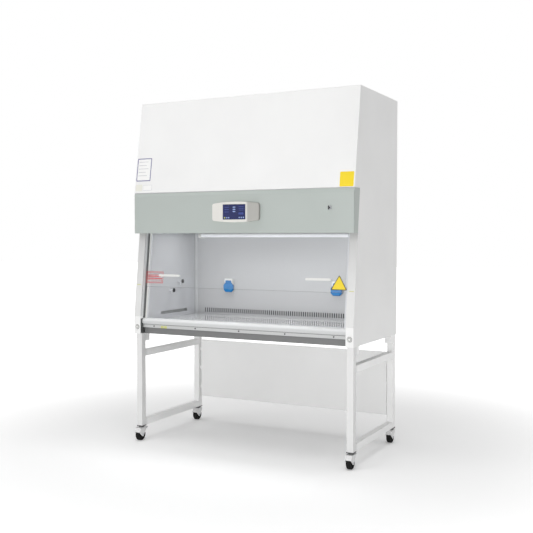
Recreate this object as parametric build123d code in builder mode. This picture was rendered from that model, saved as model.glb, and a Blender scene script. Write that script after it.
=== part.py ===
from build123d import *

import os
from math import cos, pi, radians, sin, tan

# Floor-standing class II biosafety cabinet on a wheeled stand.
# +Z is up, +X is to the right of someone facing the cabinet, and the front faces -Y.
# The origin is on the floor, in the middle of the width and of the depth.  Millimetres.

# ---------------------------------------------------------------- driving dimensions

width = 1500.0              # over the two side panels
height = 2160.0             # floor to roof
body_bottom = 690.0         # floor to the underside of the body
back_y = 378.0              # rear face of the cabinet and of the rear legs
sheet = 1.5                 # outer and inner sheet metal
seat = 0.3                  # gap left where one piece rests against another
running = 0.05              # radial clearance of every shaft and pin

# body
column = 48.0               # width of the two front columns
reveal = 28.0               # depth of a column's inner face, ahead of the sash
knee_y = -359.0             # front of the columns below the knee
knee_rise = 110.0           # knee over the underside of the body
tilt = 6.73                 # the columns and the sash lean back by this angle
brow_drop = 589.0           # top of the leaning part of the columns, below the roof
crown_y = -255.0            # front of the side panels at the roof
roof_sheet = 2.0

# fascia and hood
fascia_y = -352.0
fascia_drop = 578.0         # upper edge below the roof
fascia_height = 252.0
fascia_bevel = 20.0
bevel_run = 6.0
hood_gap = 2.0              # shadow gap between hood and fascia
hood_foot_y = -348.0
hood_crown_y = -261.0

# work chamber
duct_width = 75.0           # side panel to the chamber's inner wall
chamber_back = 255.0
chamber_drop = 720.0        # ceiling of the chamber below the roof
cove_r = 20.0               # rounded upright corners at the back
cove_edge = 0.5
tray_rise = 83.0            # work surface over the underside of the body
lip_front = -342.0
lip_depth = 45.0
lip_rise = 62.0             # underside of the lip over the underside of the body
lip_height = 37.0
lip_corner = 12.0
rail_height = 24.0
rail_y = -327.0
rail_thick = 12.0
slot_pitch = 15.7
slot_margin = 70.0          # plain wall left at both ends of the rear slots
intake_margin = 23.0
back_slot = (6.5, 30.0)
back_slot_rise = 29.0       # centre over the work surface
intake_slot = (6.5, 38.0)
side_slot = (311.0, 20.0)
side_slot_place = (-14.0, 37.0)     # y, and height over the work surface

# sash, as distances up the leaning plane from the knee and in from the columns' front
glass_thick = 6.0
glass_in = 34.0
glass_side = 38.0           # side panel to the edge of the glass
glass_foot = 196.0          # lower edge at the working height, 200 mm above the lip
glass_drop = 584.0          # upper edge at the working height, below the roof
strip_width = 16.0
strip_clear = 0.5
sash_up = 240.0             # travel from the working height up to the stop
sash_down = 200.0           # travel from the working height down to the lip
handle_length = 158.0
handle_side = 200.0         # edge of the glass to the middle of a handle
handle_rise = 72.0
handle_bar = (14.0, 8.0)
handle_gap = 12.0
top_rail_height = 28.0

# sash lift
belt_side = 22.0            # side panel to the middle of a belt
belt = (12.0, 1.5)
pulley_r = 15.0
pulley_width = 16.0
pulley_bore = 4.0
shaft_r = 6.0
shaft_over = 39.0           # cross shaft over the fully raised glass
idler_under = 41.0          # idlers under the fully lowered upper edge

# air system
filter_side = 4.0           # chamber's inner wall to the filter
filter_back = 252.0
filter_height = 90.0
filter_frame = 22.0
plenum_drop = 100.0         # top of the plenum below the roof
plenum_sheet = 2.0
exhaust_half = 300.0
exhaust_y = (-130.0, 210.0)
fan_drop = 370.0            # axis of the fan below the roof
fan_depth = 127.0
fan_r = 130.0
fan_inlet_r = 82.0
blade_count = 24

# stand and castors
tube = 40.0
tube_wall = 2.0
leg_inset = 6.0             # side panel to the outer face of a leg
leg_front = -342.0
foot_height = 50.0
foot_length = 84.0
upper_rail_drop = 128.0     # middle of the upper rail below the body
lower_rail_rise = 20.0      # middle of the lower rail over the legs' ends
back_sheet_drop = 114.0
back_sheet_rise = 76.0
back_sheet_side = 10.0
back_sheet_in = 22.0
wheel_r = 37.5
wheel_width = 28.0
wheel_clear = 5.0           # crown of the fork over the wheel
axle_r = 5.0
trail = 12.0
plate_size = 48.0
plate_thick = 4.0
crown_thick = 4.0
race_height = 8.0

# ---------------------------------------------------------------- derived places

half = width / 2
lean = radians(tilt)
slope_dir = Vector(0, sin(lean), cos(lean))
normal = Vector(0, -cos(lean), sin(lean))
knee_z = body_bottom + knee_rise
knee = Vector(0, knee_y, knee_z)
shell_back = back_y - sheet
shell_top = height - roof_sheet
brow_z = height - brow_drop
fascia_top = height - fascia_drop
fascia_bottom = fascia_top - fascia_height
hood_bottom = fascia_top + hood_gap
chamber_half = half - duct_width
chamber_top = height - chamber_drop
tray_top = body_bottom + tray_rise
lip_bottom = body_bottom + lip_rise
lip_top = lip_bottom + lip_height
rail_bottom = lip_bottom - rail_height
glass_half = half - glass_side
glass_top = height - knee_z - glass_drop
handle_x = glass_half - handle_side
belt_x = half - belt_side
shaft_rise = glass_top + sash_up + shaft_over
idler_rise = glass_top - sash_down - idler_under
glass_back = glass_in + glass_thick
front_strip = (glass_in - strip_clear - 4.5, glass_in - strip_clear)
rear_strip = (glass_back + strip_clear, glass_back + strip_clear + 5.2)
flange_in = rear_strip[1] + seat
belt_run_in = glass_in + glass_thick / 2
pulley_in = belt_run_in + pulley_r + 0.1 + belt[1] / 2
filter_half = chamber_half - filter_side
diffuser_z = chamber_top + sheet
filter_bottom = diffuser_z + sheet + seat
filter_top = filter_bottom + filter_height
plenum_top = height - plenum_drop
fan_z = height - fan_drop
fan_y = (filter_back - plenum_sheet - seat - fan_depth, filter_back - plenum_sheet - seat)
wheel_z = wheel_r
crown_z = 2 * wheel_r + wheel_clear + crown_thick
leg_bottom = crown_z + race_height + plate_thick
leg_outer = half - leg_inset
leg_centre_x = leg_outer - tube / 2
leg_front_y = leg_front + tube / 2
leg_back_y = back_y - tube / 2
back_sheet_half = leg_outer - tube - back_sheet_side
back_sheet_y = back_y - back_sheet_in
back_sheet_z = (leg_bottom + back_sheet_rise, body_bottom - back_sheet_drop)


def front_y(z):
    """Y of the columns' front face at a height above the knee."""
    return knee_y + (z - knee_z) * tan(lean)


def slope_plane(depth):
    """Plane parallel to the sash, a depth in from the columns' front."""
    return Plane(origin=knee - normal * depth, x_dir=(1, 0, 0), z_dir=normal)


def side_plane(x):
    """Plane across X, with its own x up the slope and its own y out of it."""
    return Plane(origin=(x, knee_y, knee_z), x_dir=slope_dir, z_dir=(1, 0, 0))


def slope_z(rise, depth=0.0):
    """Height of a point on the slope."""
    return (knee + slope_dir * rise - normal * depth).Z


def slope_y(rise, depth=0.0):
    """Y of a point on the slope."""
    return (knee + slope_dir * rise - normal * depth).Y


def span(low, high):
    return (low + high) / 2


os.makedirs("parts", exist_ok=True)
finished = []


def finish(builder, name):
    """Label a finished piece and write it."""
    builder.part.label = name
    export_step(builder.part, f"parts/{name}.step")
    finished.append(builder.part)


SIDES = ((-1, "left"), (1, "right"))

# ---------------------------------------------------------------- outer shell

brow_y = front_y(brow_z)
side_outline = [
    (shell_back, body_bottom),
    (knee_y, body_bottom),
    (knee_y, knee_z),
    (brow_y, brow_z),
    (crown_y, shell_top),
    (shell_back, shell_top),
]
open_outline = [
    (shell_back - sheet, body_bottom + sheet),
    (knee_y + reveal - sheet, body_bottom + sheet),
    (knee_y + reveal - sheet, knee_z),
    (brow_y + reveal, brow_z),
    (crown_y + reveal, shell_top - sheet),
    (shell_back - sheet, shell_top - sheet),
]

for side, word in SIDES:
    # a folded panel: outer face, front column, and returns at the back, roof and floor
    with BuildPart() as side_shell:
        with BuildSketch(Plane.YZ.offset(side * half)):
            with BuildLine():
                Polyline(*side_outline, close=True)
            make_face()
        extrude(amount=-side * column)
        with BuildSketch(Plane.YZ.offset(side * (half - sheet))):
            with BuildLine():
                Polyline(*side_outline, close=True)
            make_face()
            offset(amount=-sheet, kind=Kind.INTERSECTION)
        extrude(amount=-side * (column - 2 * sheet), mode=Mode.SUBTRACT)
        with BuildSketch(Plane.YZ.offset(side * (half - column + 2 * sheet))):
            with BuildLine():
                Polyline(*open_outline, close=True)
            make_face()
        extrude(amount=-side * 3 * sheet, mode=Mode.SUBTRACT)
    finish(side_shell, f"side_shell_{word}")

inlet_side = 230.0
inlet_drop = 180.0
inlet_place = (half - inlet_side, height - inlet_drop)
inlet_size = (48.0, 28.0)
inlet_depth = 30.0
inlet_floor = 8.0
inlet_mouth = (24.0, 17.0)
inlet_pin = (1.5, 6.0)
inlet_pin_pitch = 7.0
inlet_pin_length = 14.0

with BuildPart() as back_panel:
    with BuildSketch(Plane.XZ.offset(-back_y)):
        with Locations((0, span(body_bottom, shell_top))):
            Rectangle(width, shell_top - body_bottom)
        with Locations(inlet_place):
            Rectangle(inlet_size[0] + 2 * seat, inlet_size[1] + 2 * seat, mode=Mode.SUBTRACT)
    extrude(amount=sheet)
finish(back_panel, "back_panel")

with BuildPart() as power_inlet:
    with BuildSketch(Plane.XZ.offset(-back_y)):
        with Locations(inlet_place):
            RectangleRounded(inlet_size[0], inlet_size[1], 3)
    extrude(amount=inlet_depth)
    with BuildSketch(Plane.XZ.offset(-back_y)):
        with Locations(inlet_place):
            RectangleRounded(*inlet_mouth, 4)
    extrude(amount=inlet_depth - inlet_floor, mode=Mode.SUBTRACT)
    with BuildSketch(Plane.XZ.offset(-back_y + inlet_depth - inlet_floor)):
        with Locations(inlet_place):
            with GridLocations(inlet_pin_pitch, 0, 3, 1):
                Rectangle(*inlet_pin)
    extrude(amount=-inlet_pin_length)
finish(power_inlet, "power_inlet")

vent_slot = (250.0, 9.0)
vent_pitch = 16.0
vent_rows = 18
vent_y = span(*exhaust_y)

with BuildPart() as top_panel:
    with BuildSketch(Plane.XY.offset(shell_top)):
        with Locations((0, span(hood_crown_y, back_y))):
            Rectangle(width, back_y - hood_crown_y)
        with Locations((0, vent_y)):
            with GridLocations(vent_slot[0] + 20, vent_pitch, 2, vent_rows):
                Rectangle(*vent_slot, mode=Mode.SUBTRACT)
    extrude(amount=roof_sheet)
finish(top_panel, "top_panel")


def crown_line(z):
    """Y of the side panels' front edge above the brow."""
    return brow_y + (crown_y - brow_y) * (z - brow_z) / (shell_top - brow_z)


with BuildPart() as hood_cover:
    # a wedge with a leaning front and two cheeks that meet the side panels
    with BuildSketch(Plane.YZ.offset(-half)):
        with BuildLine():
            Polyline(
                (hood_crown_y, shell_top),
                (hood_foot_y, hood_bottom),
                (crown_line(hood_bottom) - seat, hood_bottom),
                (crown_line(shell_top) - seat, shell_top),
                close=True,
            )
        make_face()
    extrude(amount=width)
    fillet(hood_cover.edges().filter_by(Axis.X).group_by(Axis.Z)[0].sort_by(Axis.Y)[0], 4)
    with BuildSketch(Plane.YZ.offset(-half + sheet)):
        with BuildLine():
            Polyline(
                (hood_crown_y + sheet, shell_top),
                (hood_foot_y + sheet, hood_bottom + sheet),
                (crown_line(hood_bottom) - 18, hood_bottom + sheet),
                (crown_line(hood_bottom) - 18, hood_bottom - sheet),
                (crown_line(hood_bottom) + 5, hood_bottom - sheet),
                (crown_line(shell_top) + 5, shell_top),
                close=True,
            )
        make_face()
    extrude(amount=width - 2 * sheet, mode=Mode.SUBTRACT)
finish(hood_cover, "hood_cover")

lock_side = 148.0
lock_drop = 110.0
lock_place = (half - lock_side, fascia_top - lock_drop)
lock_r = 8.0

with BuildPart() as fascia:
    # green control fascia: bevelled along its top, returns to the columns at both sides
    with BuildSketch(Plane.YZ.offset(-half)):
        with BuildLine():
            Polyline(
                (fascia_y, fascia_bottom),
                (fascia_y, fascia_top - fascia_bevel),
                (fascia_y + bevel_run, fascia_top),
                (crown_line(fascia_top) - seat, fascia_top),
                (brow_y - seat, brow_z),
                (front_y(fascia_bottom) - seat, fascia_bottom),
                close=True,
            )
        make_face()
    extrude(amount=width)
    fillet(fascia.edges().filter_by(Axis.Z).group_by(Axis.Y)[0], 6)
    with BuildSketch(Plane.YZ.offset(-half + sheet)):
        with BuildLine():
            Polyline(
                (fascia_y + sheet, fascia_bottom + sheet),
                (fascia_y + sheet, fascia_top - fascia_bevel),
                (fascia_y + bevel_run + sheet, fascia_top - sheet),
                (crown_line(fascia_top) - 20, fascia_top - sheet),
                (crown_line(fascia_top) - 20, fascia_top + sheet),
                (crown_line(fascia_top) + 5, fascia_top + sheet),
                (front_y(fascia_bottom) + 5, fascia_bottom + sheet),
                close=True,
            )
        make_face()
    extrude(amount=width - 2 * sheet, mode=Mode.SUBTRACT)
    with BuildSketch(Plane.XZ.offset(-fascia_y + 1)):
        with Locations(lock_place):
            Circle(lock_r + seat)
    extrude(amount=-sheet - 2, mode=Mode.SUBTRACT)
finish(fascia, "fascia")

# ---------------------------------------------------------------- base, rail and lip

pan_half = half - column - 2 * seat
pan_front = rail_y + rail_thick
ledge = 34.0
pan_top = lip_bottom

with BuildPart() as base_pan:
    # drain pan under the work tray, with a ledge round its top
    with BuildSketch(Plane.XY.offset(body_bottom)):
        with Locations((0, span(pan_front, shell_back - seat))):
            Rectangle(2 * pan_half, shell_back - seat - pan_front)
    extrude(amount=pan_top - body_bottom)
    with BuildSketch(Plane.XY.offset(body_bottom + sheet)):
        with Locations((0, span(pan_front, shell_back - seat))):
            Rectangle(2 * (pan_half - sheet), shell_back - seat - pan_front - 2 * sheet)
    extrude(amount=pan_top - body_bottom - 2 * sheet, mode=Mode.SUBTRACT)
    with BuildSketch(Plane.XY.offset(pan_top - 2 * sheet)):
        with Locations((0, span(pan_front, shell_back - seat))):
            Rectangle(2 * (pan_half - ledge), shell_back - seat - pan_front - 2 * ledge)
    extrude(amount=4 * sheet, mode=Mode.SUBTRACT)
finish(base_pan, "base_pan")

screw_r = 2.5
screw_head_r = 4.5
screw_margin = 83.4
screw_pitch = (pan_half - screw_margin) / 2
screw_z = rail_bottom + 13
screw_xs = [index * screw_pitch for index in range(-2, 3)]

with BuildPart() as front_rail:
    # channel section under the lip; the screws pass its face
    with BuildSketch(Plane.YZ.offset(-pan_half)):
        with Locations((rail_y + rail_thick / 2, span(rail_bottom, lip_bottom))):
            Rectangle(rail_thick, lip_bottom - rail_bottom)
    extrude(amount=2 * pan_half)
    fillet(front_rail.edges().filter_by(Axis.X).group_by(Axis.Y)[0], 2)
    with BuildSketch(Plane.XZ.offset(-rail_y + 1)):
        for screw_x in screw_xs:
            with Locations((screw_x, screw_z)):
                Circle(screw_r + 0.1)
    extrude(amount=-rail_thick, mode=Mode.SUBTRACT)
finish(front_rail, "front_rail")

with BuildPart() as rail_screws:
    for screw_x in screw_xs:
        with BuildSketch(Plane.XZ.offset(-rail_y)):
            with Locations((screw_x, screw_z)):
                RegularPolygon(screw_head_r, 6)
        extrude(amount=3)
        with BuildSketch(Plane.XZ.offset(-rail_y)):
            with Locations((screw_x, screw_z)):
                Circle(screw_r)
        extrude(amount=-rail_thick + 2)
finish(rail_screws, "rail_screws")

lip_back = lip_front + lip_depth
lip_half = half - column - 2

with BuildPart() as front_lip:
    # rounded arm-rest extrusion whose lower corners are cut round
    with BuildSketch(Plane.YZ.offset(-lip_half)):
        with Locations((span(lip_front, lip_back), span(lip_bottom, lip_top))):
            Rectangle(lip_depth, lip_top - lip_bottom)
    extrude(amount=2 * lip_half)
    nose = front_lip.edges().filter_by(Axis.X).group_by(Axis.Y)[0]
    fillet(nose.sort_by(Axis.Z)[-1], 20)
    fillet(front_lip.edges().filter_by(Axis.X).group_by(Axis.Z)[0].sort_by(Axis.Y)[0], 11)
    for side in (-1, 1):
        with BuildSketch(Plane.XZ.offset(-lip_front + 1)):
            with Locations((side * (lip_half - lip_corner / 2), lip_bottom + lip_corner / 2)):
                Rectangle(lip_corner + 1, lip_corner + 1)
            with Locations((side * (lip_half - lip_corner), lip_bottom + lip_corner)):
                Circle(lip_corner, mode=Mode.SUBTRACT)
        extrude(amount=-lip_depth - 2, mode=Mode.SUBTRACT)
finish(front_lip, "front_lip")

tray_half = chamber_half - seat
tray_front = lip_back + seat
tray_back = chamber_back - seat
tray_rim = tray_top - pan_top
intake_y = tray_front + 12 + intake_slot[1] / 2
intake_count = int(2 * (chamber_half - intake_margin) / slot_pitch)

with BuildPart() as work_tray:
    # stainless work surface with a turned-down rim and an intake grille behind the lip
    with BuildSketch(Plane.XY.offset(tray_top - tray_rim + seat)):
        with Locations((0, span(tray_front, tray_back))):
            Rectangle(2 * tray_half, tray_back - tray_front)
    extrude(amount=tray_rim - seat)
    with BuildSketch(Plane.XY.offset(tray_top - tray_rim - 1)):
        with Locations((0, span(tray_front, tray_back))):
            Rectangle(2 * (tray_half - sheet), tray_back - tray_front - 2 * sheet)
    extrude(amount=tray_rim + 1 - sheet, mode=Mode.SUBTRACT)
    with BuildSketch(Plane.XY.offset(tray_top + 1)):
        with Locations((0, intake_y)):
            with GridLocations(slot_pitch, 1, intake_count, 1):
                Rectangle(*intake_slot)
    extrude(amount=-sheet - 2, mode=Mode.SUBTRACT)
finish(work_tray, "work_tray")

# ---------------------------------------------------------------- chamber lining

wall_foot = pan_top + seat
flange_reach = glass_half + 4
duct_leg = 75.0
duct_gap = 2 * (chamber_half - duct_leg)
slot_count = int(2 * (chamber_half - slot_margin) / slot_pitch)
foot_rise = (lip_top + 2 * seat - knee_z + (flange_in + sheet) * sin(lean)) / cos(lean)
top_rise = (chamber_top - knee_z) / cos(lean) - 6
lift_notch = 84.0


def lined_y(z):
    """Y of the front edge of the chamber's side walls."""
    return front_y(z) + flange_in / cos(lean)


for side, word in SIDES:
    # side wall with a leaning front flange, a roof flange, a return-air slot and a coved corner
    with BuildPart() as chamber_wall:
        with BuildSketch(Plane.YZ.offset(side * chamber_half)):
            with BuildLine():
                Polyline(
                    (chamber_back - seat, wall_foot),
                    (lip_back + seat, wall_foot),
                    (lip_back + seat, lip_top + 2 * seat),
                    (lined_y(lip_top + 2 * seat), lip_top + 2 * seat),
                    (lined_y(chamber_top), chamber_top),
                    (chamber_back - seat, chamber_top),
                    close=True,
                )
            make_face()
            with Locations((side_slot_place[0], tray_top + side_slot_place[1])):
                SlotOverall(*side_slot, mode=Mode.SUBTRACT)
        extrude(amount=side * sheet)
        cove = cove_r + cove_edge
        with BuildSketch(Plane.XY.offset(tray_top + seat)):
            with Locations((side * (chamber_half - cove / 2), chamber_back - seat - cove / 2)):
                Rectangle(cove, cove)
            with Locations((side * (chamber_half - cove), chamber_back - seat - cove)):
                Circle(cove_r, mode=Mode.SUBTRACT)
        extrude(amount=chamber_top - tray_top - seat)
        with BuildSketch(slope_plane(flange_in)):
            with Locations((side * span(chamber_half, flange_reach), span(foot_rise, top_rise))):
                Rectangle(flange_reach - chamber_half, top_rise - foot_rise)
        extrude(amount=-sheet)
        with BuildSketch(Plane.XY.offset(chamber_top - sheet)):
            with Locations(
                (
                    side * span(chamber_half, half - sheet - seat),
                    span(front_y(chamber_top) + lift_notch, chamber_back - seat),
                )
            ):
                Rectangle(
                    half - sheet - seat - chamber_half,
                    chamber_back - seat - front_y(chamber_top) - lift_notch,
                )
        extrude(amount=sheet)
    finish(chamber_wall, f"chamber_wall_{word}")

with BuildPart() as chamber_back_wall:
    # rear lining with a row of return slots just above the tray and a gap below it
    with BuildSketch(Plane.XZ.offset(-chamber_back)):
        with Locations((0, span(wall_foot, chamber_top))):
            Rectangle(2 * (pan_half - 2 * sheet), chamber_top - wall_foot)
        with Locations((0, span(body_bottom + sheet + seat, wall_foot))):
            Rectangle(2 * (pan_half - ledge - seat), wall_foot - body_bottom - sheet - seat)
            Rectangle(duct_gap, wall_foot - body_bottom - 4 * sheet, mode=Mode.SUBTRACT)
        with Locations((0, tray_top + back_slot_rise)):
            with GridLocations(slot_pitch, 1, slot_count, 1):
                Rectangle(*back_slot, mode=Mode.SUBTRACT)
    extrude(amount=-sheet)
finish(chamber_back_wall, "chamber_back_wall")

# ---------------------------------------------------------------- sash

glass_length = glass_top - glass_foot

with BuildPart() as sash_glass:
    with BuildSketch(slope_plane(glass_in)):
        with Locations((0, span(glass_foot, glass_top))):
            Rectangle(2 * glass_half, glass_length)
    extrude(amount=-glass_thick)
    chamfer(sash_glass.edges().filter_by(Axis.X).group_by(Axis.Z)[0], 1)
finish(sash_glass, "sash_glass")

with BuildPart() as sash_handles:
    # a flat grip bar on two posts, near each lower corner of the glass
    for side in (-1, 1):
        rise = glass_foot + handle_rise
        with BuildSketch(slope_plane(glass_in - handle_gap)):
            with Locations((side * handle_x, rise)):
                RectangleRounded(handle_length, handle_bar[0], 5)
        extrude(amount=handle_bar[1])
        with BuildSketch(slope_plane(glass_in)):
            with Locations((side * handle_x, rise)):
                with GridLocations(handle_length - 20, 1, 2, 1):
                    Circle(5)
        extrude(amount=handle_gap)
finish(sash_handles, "sash_handles")

guide_foot = foot_rise + 1
guide_top = glass_top + sash_up
lock_floor = glass_top - 226

with BuildPart() as sash_guides:
    # wiper strips ahead of the glass and guide channels behind it
    for side in (-1, 1):
        strip_x = side * (glass_half - 4)
        with BuildSketch(slope_plane(front_strip[0])):
            with Locations((strip_x, span(guide_foot, guide_top))):
                Rectangle(strip_width, guide_top - guide_foot)
        extrude(amount=-(front_strip[1] - front_strip[0]))
        with BuildSketch(slope_plane(rear_strip[0])):
            with Locations((strip_x, span(guide_foot, guide_top))):
                Rectangle(strip_width, guide_top - guide_foot)
        extrude(amount=-(rear_strip[1] - rear_strip[0]))
        with BuildSketch(slope_plane(rear_strip[0])):
            with Locations((side * (glass_half + 2), span(guide_foot, lock_floor))):
                Rectangle(3, lock_floor - guide_foot)
        extrude(amount=glass_thick)
finish(sash_guides, "sash_guides")

rail_half = glass_half - 14
clamp_x = (belt_x - 8, belt_x + 8)
belt_slit = belt[1] + 2 * seat

with BuildPart() as sash_top_rail:
    # channel on the upper edge of the glass, with a tongue and belt clamp at each end
    with BuildSketch(side_plane(-rail_half)):
        with Locations((glass_top, -(glass_in + glass_thick / 2))):
            Rectangle(top_rail_height, 14)
        with Locations((glass_top - top_rail_height / 4, -(glass_in + glass_thick / 2))):
            Rectangle(top_rail_height / 2, glass_thick, mode=Mode.SUBTRACT)
    extrude(amount=2 * rail_half)
    tongue = (glass_top + 2, glass_top + top_rail_height / 2)
    for side in (-1, 1):
        with BuildSketch(side_plane(side * rail_half)):
            with Locations((span(*tongue), -(glass_in + glass_thick / 2))):
                Rectangle(tongue[1] - tongue[0], glass_thick - 1)
        extrude(amount=side * (clamp_x[0] - rail_half))
        with BuildSketch(side_plane(side * clamp_x[0])):
            with Locations((span(*tongue), -belt_run_in)):
                Rectangle(tongue[1] - tongue[0], 10)
        extrude(amount=side * (clamp_x[1] - clamp_x[0]))
        with BuildSketch(side_plane(side * (belt_x - belt[0] / 2 - seat))):
            with Locations((span(*tongue), -belt_run_in)):
                Rectangle(tongue[1] - tongue[0] + 2, belt_slit)
        extrude(amount=side * (belt[0] + 2 * seat), mode=Mode.SUBTRACT)
finish(sash_top_rail, "sash_top_rail")

# ---------------------------------------------------------------- sash lift

with BuildPart() as lift_belts:
    for side in (-1, 1):
        with BuildSketch(side_plane(side * belt_x - belt[0] / 2)):
            with Locations((span(idler_rise, shaft_rise), -pulley_in)):
                SlotCenterToCenter(shaft_rise - idler_rise, 2 * (pulley_r + 0.1 + belt[1]))
                SlotCenterToCenter(
                    shaft_rise - idler_rise, 2 * (pulley_r + 0.1), mode=Mode.SUBTRACT
                )
        extrude(amount=belt[0])
finish(lift_belts, "lift_belts")


def pulley(start, rise, bore):
    """Flanged belt pulley that starts at an X and grows towards +X."""
    with BuildPart() as wheel:
        with BuildSketch(side_plane(start)):
            with Locations((rise, -pulley_in)):
                Circle(pulley_r)
        extrude(amount=pulley_width)
        for flange_x in (start, start + pulley_width - 1.5):
            with BuildSketch(side_plane(flange_x)):
                with Locations((rise, -pulley_in)):
                    Circle(pulley_r + 3)
            extrude(amount=1.5)
        if bore:
            with BuildSketch(side_plane(start)):
                with Locations((rise, -pulley_in)):
                    Circle(bore)
            extrude(amount=pulley_width, mode=Mode.SUBTRACT)
    return wheel


shaft_half = half - sheet - 5

with BuildPart() as lift_shaft:
    with BuildSketch(side_plane(-shaft_half)):
        with Locations((shaft_rise, -pulley_in)):
            Circle(shaft_r)
    extrude(amount=2 * shaft_half)
    for side in (-1, 1):
        add(pulley(side * belt_x - pulley_width / 2, shaft_rise, 0).part)
finish(lift_shaft, "lift_shaft")

for side, word in SIDES:
    idler = pulley(side * belt_x - pulley_width / 2, idler_rise, pulley_bore + running)
    finish(idler, f"idler_{word}")

block_in = belt_x + pulley_width / 2 + 1
block_out = half - sheet - seat
gearbox_x = (chamber_half + 1, belt_x - pulley_width / 2 - 2)
gearbox_deep = 50.0
gearbox_high = 40.0         # clear of the sash's top rail when that is fully raised
lift_motor_r = 19.0
lift_motor_length = 95.0
arm_in = pulley_in + gearbox_deep / 2 + seat
arm_thick = 3.0
block_high = 40.0
block_deep = 34.0
stud_deep = 24.0

with BuildPart() as lift_brackets:
    # bearing blocks for the cross shaft, stud plates for the idlers, motor arm at the right
    for side in (-1, 1):
        with BuildSketch(side_plane(side * block_in)):
            with Locations((shaft_rise, -pulley_in)):
                Rectangle(block_high, block_deep)
                Circle(shaft_r + running, mode=Mode.SUBTRACT)
        extrude(amount=side * (block_out - block_in))
        with BuildSketch(side_plane(side * block_in)):
            with Locations((idler_rise, -pulley_in)):
                Rectangle(block_high, stud_deep)
        extrude(amount=side * (block_out - block_in))
        with BuildSketch(side_plane(side * block_in)):
            with Locations((idler_rise, -pulley_in)):
                Circle(pulley_bore)
        extrude(amount=-side * (pulley_width + 2))
    with BuildSketch(slope_plane(arm_in)):
        with Locations((span(gearbox_x[0], block_out), shaft_rise)):
            Rectangle(block_out - gearbox_x[0], block_high)
    extrude(amount=-arm_thick)
    with BuildSketch(side_plane(block_in)):
        with Locations((shaft_rise, -span(pulley_in + block_deep / 2, arm_in + arm_thick))):
            Rectangle(block_high, arm_in + arm_thick - pulley_in - block_deep / 2)
    extrude(amount=block_out - block_in)
finish(lift_brackets, "lift_brackets")

with BuildPart() as lift_motor:
    # worm gearbox round the cross shaft with its motor standing on top
    with BuildSketch(side_plane(gearbox_x[0])):
        with Locations((shaft_rise, -pulley_in)):
            RectangleRounded(gearbox_high, gearbox_deep, 6)
            Circle(shaft_r + running, mode=Mode.SUBTRACT)
    extrude(amount=gearbox_x[1] - gearbox_x[0])
    motor_rise = shaft_rise + gearbox_high / 2
    motor_end = Plane(
        origin=(span(*gearbox_x), slope_y(motor_rise, pulley_in), slope_z(motor_rise, pulley_in)),
        x_dir=(1, 0, 0),
        z_dir=slope_dir,
    )
    with BuildSketch(motor_end):
        Circle(lift_motor_r)
    extrude(amount=lift_motor_length)
    chamfer(lift_motor.faces().sort_by(Axis.Z)[-1].edges(), 3)
finish(lift_motor, "lift_motor")

# ---------------------------------------------------------------- air system

shaft_clear = 5.0
filter_front = slope_y(shaft_rise, pulley_in) + shaft_r + shaft_clear
diffuser_front = lined_y(chamber_top) + 8
diffuser_count = (6, 7)
diffuser_margin = 35.0
diffuser_lap = 20.0
diffuser_web = 22.0
diffuser_pitch = (2 * (filter_half - diffuser_margin) / diffuser_count[0], 58.0)
diffuser_slot = (diffuser_pitch[0] - diffuser_web, 14.0)

with BuildPart() as flow_diffuser:
    with BuildSketch(Plane.XY.offset(diffuser_z)):
        with Locations((0, span(diffuser_front, chamber_back))):
            Rectangle(2 * (chamber_half + diffuser_lap), chamber_back - diffuser_front)
        with Locations((0, span(filter_front, filter_back))):
            with GridLocations(*diffuser_pitch, *diffuser_count):
                Rectangle(*diffuser_slot, mode=Mode.SUBTRACT)
    extrude(amount=sheet)
finish(flow_diffuser, "flow_diffuser")


def filter_cell(half_x, ys, z0, z1, pleat_pitch):
    """Filter cell: a frame round a pleated pack."""
    pack_x = half_x - filter_frame
    pack_y = ys[1] - ys[0] - 2 * filter_frame
    pleats = int(2 * pack_x / pleat_pitch)
    start = -pleats * pleat_pitch / 2
    low, high = z0 + 8, z1 - 14
    folds = [
        (start + index * pleat_pitch / 2, high if index % 2 else low)
        for index in range(2 * pleats + 1)
    ]
    with BuildPart() as cell:
        with BuildSketch(Plane.XY.offset(z0)):
            with Locations((0, span(*ys))):
                Rectangle(2 * half_x, ys[1] - ys[0])
                Rectangle(-2 * start, pack_y, mode=Mode.SUBTRACT)
        extrude(amount=z1 - z0)
        with BuildSketch(Plane.XZ.offset(-(ys[1] - filter_frame))):
            with BuildLine():
                Polyline(*folds, *[(x, z + 6) for x, z in reversed(folds)], close=True)
            make_face()
        extrude(amount=pack_y)
    return cell


finish(
    filter_cell(filter_half, (filter_front, filter_back), filter_bottom, filter_top, 64.0),
    "supply_filter",
)

exhaust_bottom = plenum_top + seat
exhaust_top = shell_top - seat

finish(
    filter_cell(exhaust_half, exhaust_y, exhaust_bottom, exhaust_top, 40.0),
    "exhaust_filter",
)

plenum_bottom = filter_top + seat

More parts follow.
